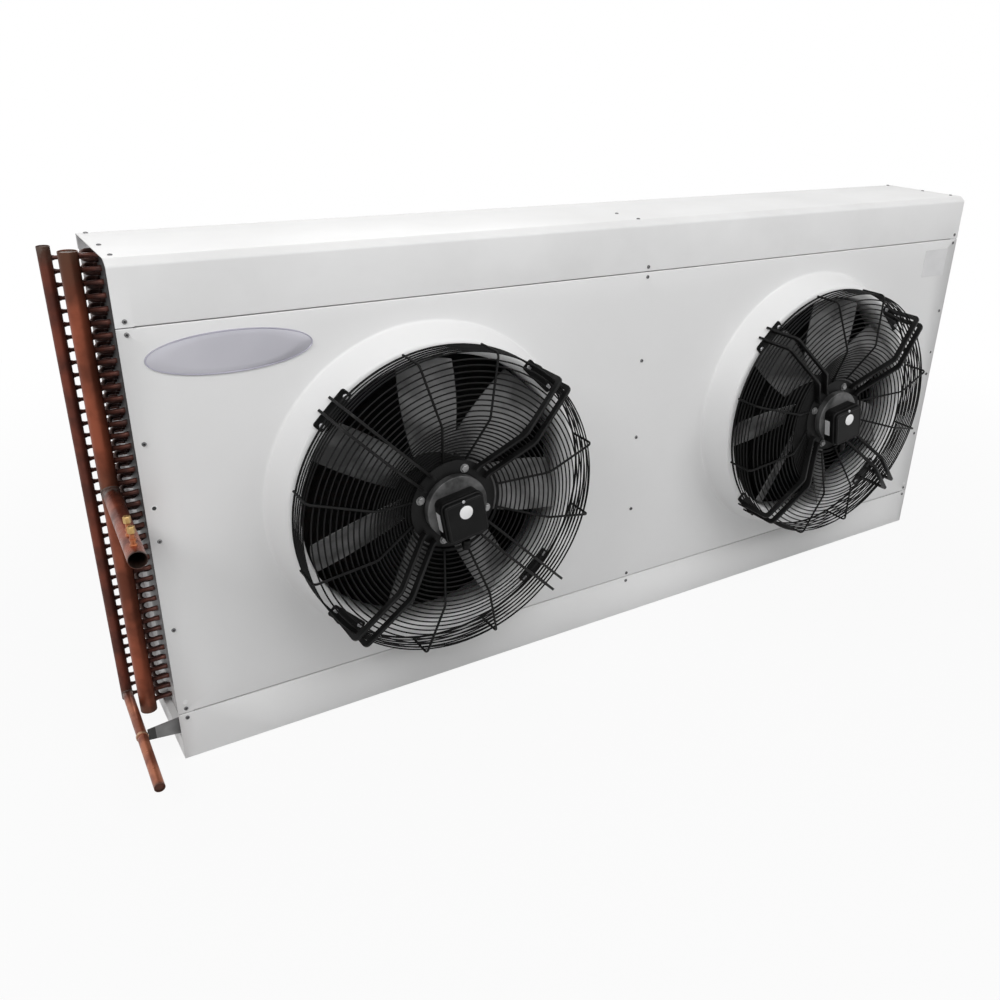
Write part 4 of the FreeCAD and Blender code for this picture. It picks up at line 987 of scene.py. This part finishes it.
def brackets(side, x):
    """Plates on the nozzle's crest that hold an arm pair, and their screws."""
    plates = []
    heads = []
    top = NOZZLE_CREST + BRACKET_THICKNESS
    outline = rounded_outline(BRACKET_WIDTH, BRACKET_LENGTH, 6)
    head = facing(pan_head(6, 3.5))
    for angle in ARM_ANGLES:
        plates.append(capped([radial(xyz(BRACKET_RADIUS + outline[:, 0], outline[:, 1], out), x, angle)
                              for out in (NOZZLE_CREST, top)]))
        for turn in (-6.2, 6.2):
            heads.append(placed(head, radial((BRACKET_RADIUS, 0, top), x, angle + turn)))
    piece(side + "_bracket_sheets", plates, BLACK_ARM, side + "_bracket_plates", bevel=0.5)
    piece(side + "_bracket_heads", heads, ZINC, side + "_bracket_screws")


def bolt_head():
    """Hexagonal head on a round washer, standing on the origin along +Z."""
    turn = circle(12)
    hexagon = np.where(np.arange(12) % 2, math.cos(math.pi / 6), 1)
    washer = [(10.4, 0), (10.4, 1.2)]
    head = [(8.2, 1.3), (8.2, 4.8), (7.2, 5.6), (2, 5.6)]
    rings = [(radius * np.ones(12), height) for radius, height in washer]
    rings += [(radius * hexagon, height) for radius, height in head]
    return capped([xyz(size * np.cos(turn), size * np.sin(turn), height) for size, height in rings])


def motor(side, x):
    """Hub plate, bolts, domed stator cover and the rotor's bell, all turned about the fan's axis."""
    plate = [(71.4, 126), (102, 126), (102, 129.4), (101.2, HUB_OUT), (71.4, HUB_OUT)]
    piece(side + "_hub_disc", [turned(x, plate)], BLACK_ARM, side + "_hub_plate")
    bolts = [placed(facing(bolt_head()), radial((HUB_BOLT_CIRCLE, 0, HUB_OUT), x, angle))
             for angle in HUB_BOLT_ANGLES]
    piece(side + "_hub_bolt_heads", bolts, BOLT_STEEL, side + "_hub_bolts")
    dome = rounded_path([(17.8, 22), (62, 22), (62, 118), (95.6, 118), (95.6, 125.8),
                         (71, 125.8), (72.5, 148.6), (8, 150)], [2, 0.5, 2, 1.5, 1, 2.5], 4)
    piece(side + "_stator_cover", [turned(x, dome, capped)], CASTING, side + "_stator")
    bell = rounded_path([(90, 16), (90, 112), (94, 112), (94, 4), (7.7, 4), (7.7, 16),
                         (90, 16)], [0, 1, 10, 1, 0.5], 5)[:-1]
    piece(side + "_rotor_bell", [turned(x, bell)], DARK_CASTING,
          side + "_rotor_can", body=side + "_rotor")


def blades(side, x):
    """Seven rolled plates. Half the width across follows the curve through three stations, the distance out
    follows a cylinder of the roll radius about a tilted centre, and both ends are trimmed to circles."""
    radius = np.linspace(ROTOR_RADIUS - 3, TIP_RADIUS, 30)[:, None]
    across = np.polyval(np.polyfit(*zip(*BLADE_STATIONS), 2), radius) / 2 * np.linspace(-1, 1, 17)
    up = np.sqrt(np.maximum(radius ** 2 - across ** 2, 1))
    pitch = math.radians(BLADE_PITCH)
    centre_across = -BLADE_ROLL * math.sin(pitch)
    centre_out = BLADE_MIDDLE + BLADE_ROLL * math.cos(pitch)
    front = centre_out - np.sqrt(BLADE_ROLL ** 2 - (across - centre_across) ** 2)
    back = front - BLADE_THICKNESS / math.cos(pitch) * 0.9
    rings = np.concatenate([xyz(up, -across, front), xyz(up, -across, back)[:, ::-1]], axis=1)
    plates = [capped(radial(rings, x, 90 - BLADE_STOPS[side] - 360 * number / BLADE_COUNT))
              for number in range(BLADE_COUNT)]
    piece(side + "_blade_set", plates, BLADE_PAINT, side + "_fan_blades",
          body=side + "_rotor")


def box_points(x, local_x, local_z, out):
    """Points given across and up the terminal box, which is turned a little, at a distance out."""
    turn = math.radians(BOX_TURN)
    return xyz(x + BOX_SHIFT[0] + local_x * math.cos(turn) - local_z * math.sin(turn), FRONT - out,
               FAN_Z + BOX_SHIFT[1] + local_x * math.sin(turn) + local_z * math.cos(turn))


def box_shape(x, profile):
    """The terminal box's rounded outline, grown by each first number, at the distance out of the second."""
    rings = []
    for grow, out in profile:
        outline = rounded_outline(BOX_WIDTH + 2 * grow, BOX_HEIGHT + 2 * grow, BOX_ROUND + grow)
        rings.append(box_points(x, outline[:, 0], outline[:, 1], out))
    return capped(rings)


def terminal(side, x):
    """Box and lid from one rounded outline: the lid has a quarter-circle rim and a shallow panel inside."""
    body = [(0, 149), (0, 171), (-1, 171.6), (-1, 175)]
    piece(side + "_terminal_body", [box_shape(x, body)], BLACK_PLASTIC,
          side + "_terminal_box")
    front = BOX_FRONT
    panel = front - 1.2
    lid = [(0.4, 174), (1.6, 174.8), (1.6, 181), (0.6, 182.4), (-1.4, 183), (-1.6, front - 6)]
    bend = np.linspace(0, math.pi / 2, 6)
    lid += [(-1.6 - 4.5 * (1 - math.cos(a)), front - 6 + 6 * math.sin(a)) for a in bend]
    lid += [(-7.5, front - 0.4), (-8.5, panel), (-10, panel)]
    piece(side + "_terminal_cover", [box_shape(x, lid)], BLACK_PLASTIC,
          side + "_terminal_lid")
    angle = circle(40)
    disc = [box_points(x, 1 + r * np.cos(angle), 18 + r * np.sin(angle), panel + rise)
            for r, rise in ((15.5, -0.3), (15.5, 1), (15.1, 1.2))]
    piece(side + "_round_sticker", [capped(disc)], STICKER, side + "_lid_sticker")
    spot = box_points(x, -1, BOX_HEIGHT / 2 - 4, front - 1)
    piece(side + "_lid_screw", [placed(facing(pan_head(3.6, 2)), spot)], ZINC)
    corners = np.array([(-22, 151), (22, 151), (22, 168), (-22, 168)])
    sides = [box_points(x, -BOX_WIDTH / 2 + shift, corners[:, 0], corners[:, 1]) for shift in (0.5, -0.6)]
    piece(side + "_side_strip", [capped(sides)], LABEL)


def gland(side, x):
    """Cable gland under the terminal box, turned about an upright axis."""
    profile = ((9, 4), (9, -4), (10, -4.6), (10, -9), (8.4, -9.6), (8.4, -17), (5, -18))
    body = placed(lathe(profile, 20), (x + GLAND_SHIFT[0], FRONT - GLAND_OUT, FAN_Z + GLAND_SHIFT[1]))
    piece(side + "_gland_body", [body], BLACK_PLASTIC, side + "_cable_gland")


# CAD nodes that stay

def keep_node(node, material):
    """A CAD node whose shape is right keeps it and gets the given finish."""
    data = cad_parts[node].data
    data.materials.clear()
    data.materials.append(material)


def shaded_end_plate():
    """End plate with painted shade: darker grey over its front part, near-black higher up on that front, and
    near-white at the foot.
    """
    tree = END_PLATE.node_tree
    # Painted shade: darker grey towards the front of the plate.
    tinted(END_PLATE, along(tree, "Y", 78, 64), (0.16, 0.16, 0.165), 0.8)
    # Painted shade: near-black higher up on the front of the plate.
    upper = product(tree, along(tree, "Z", 200, 560), along(tree, "Y", 72, 40))
    tinted(END_PLATE, upper, (0.035, 0.035, 0.037), 0.85)
    # Lighter, near-white, at the foot.
    return tinted(END_PLATE, along(tree, "Z", 124, 110), 0.72, 0.9)


# Camera, light and stage

def camera():
    """Camera solved from the cabinet's edges, seams and fan circles."""
    data = bpy.data.cameras.new("camera")
    data.sensor_width = 36
    data.lens = 34.611
    data.shift_x = -0.06367
    data.shift_y = -0.00142
    data.clip_end = 200
    thing = bpy.data.objects.new("camera", data)
    thing.matrix_world = Matrix.LocRotScale(Vector(CAMERA_PLACE), Euler(CAMERA_TURN), None)
    bpy.context.scene.collection.objects.link(thing)
    bpy.context.scene.camera = thing


def lamp(name, place, aim, size, power):
    """Rectangular area light at a place, turned to face the point it aims at."""
    data = bpy.data.lights.new(name, "AREA")
    data.shape = "RECTANGLE"
    data.size, data.size_y = size
    data.energy = power
    thing = bpy.data.objects.new(name, data)
    thing.location = place
    thing.rotation_euler = (Vector(aim) - Vector(place)).to_track_quat("-Z", "Y").to_euler()
    bpy.context.scene.collection.objects.link(thing)


def background_rays(tree):
    """1 for rays straight from the camera, mirrored or seen through, 0 for light that falls on things."""
    rays = tree.nodes.new("ShaderNodeLightPath").outputs
    direct = maths(tree, "MAXIMUM", rays["Is Camera Ray"], rays["Is Glossy Ray"])
    return maths(tree, "MAXIMUM", direct, rays["Is Transmission Ray"])


def backdrop():
    """White behind the part, and a weaker white in the light that falls on it."""
    world = bpy.data.worlds.new("studio")
    bpy.context.scene.world = world
    world.use_nodes = True
    tree = world.node_tree
    shade = tree.nodes["Background"].inputs
    shade["Color"].default_value = (1, 1, 1, 1)
    feed(tree, shade["Strength"], span(tree, background_rays(tree), low=AMBIENT, high=1))


def floor_finish():
    """White glow for background rays, a little less of it near the part so that its shadow shows."""
    material = bpy.data.materials.new("floor_white")
    material.use_nodes = True
    tree = material.node_tree
    shader = tree.nodes["Principled BSDF"]
    shader.inputs["Base Color"].default_value = (0.55, 0.55, 0.55, 1)
    shader.inputs["Roughness"].default_value = 0.9
    shader.inputs["Specular IOR Level"].default_value = 0
    glow = tree.nodes.new("ShaderNodeEmission")
    reach = tree.nodes.new("ShaderNodeVectorMath")
    reach.operation = "LENGTH"
    feed(tree, reach.inputs[0], tree.nodes.new("ShaderNodeTexCoord").outputs["Object"])
    fade = span(tree, reach.outputs["Value"], 1.2, 3.4, 0.92, 1, smooth=True)
    blend = tree.nodes.new("ShaderNodeMixShader")
    feed(tree, blend.inputs["Fac"], product(tree, background_rays(tree), fade))
    feed(tree, blend.inputs[1], shader.outputs[0])
    feed(tree, blend.inputs[2], glow.outputs[0])
    feed(tree, tree.nodes["Material Output"].inputs["Surface"], blend.outputs[0])
    return material


def floor():
    """Large white square just under the part."""
    mesh = bpy.data.meshes.new("floor")
    corners = [(x * FLOOR_HALF, y * FLOOR_HALF, 0) for x, y in ((-1, -1), (1, -1), (1, 1), (-1, 1))]
    mesh.from_pydata(corners, [], [(0, 1, 2, 3)])
    mesh.materials.append(floor_finish())
    thing = bpy.data.objects.new("floor", mesh)
    thing.location = (0, 0, -FLOOR_DROP)
    bpy.context.scene.collection.objects.link(thing)


camera()
hood()
fan_panel()
bottom_panel()
end_flaps()
fins()
bends()
stubs("gas_stubs", 0, GAS_X, GAS_RADIUS, TUBE_RADIUS, GAS_STUB_COPPER, "gas_stub_tubes")
stubs("liquid_stubs", 3, LIQUID_X, LIQUID_RADIUS, LIQUID_STUB_RADIUS, STUB_COPPER, "liquid_stub_tubes")
headers()
gas_pipe()
liquid_pipe()
brazed_joints()
valves()
clip()
badge()
rating_plate()
screws()
for side, fan_x in FAN_X.items():
    for part in (guard, arms, brackets, motor, blades, terminal, gland):
        part(side, fan_x)
    keep_node(side + "_bearings", ZINC)
    keep_node(side + "_shaft", SHAFT_STEEL)
for node in ("centre_partition", "right_tube_plate"):
    keep_node(node, GALVANISED)
keep_node("pipe_bracket", SHADED_BRACKET)
keep_node("left_tube_plate", shaded_end_plate())
keep_node("bracket_rubber", RUBBER)
backdrop()
floor()
for settings in LAMPS:
    lamp(*settings)

bpy.context.scene.view_settings.view_transform = "Standard"
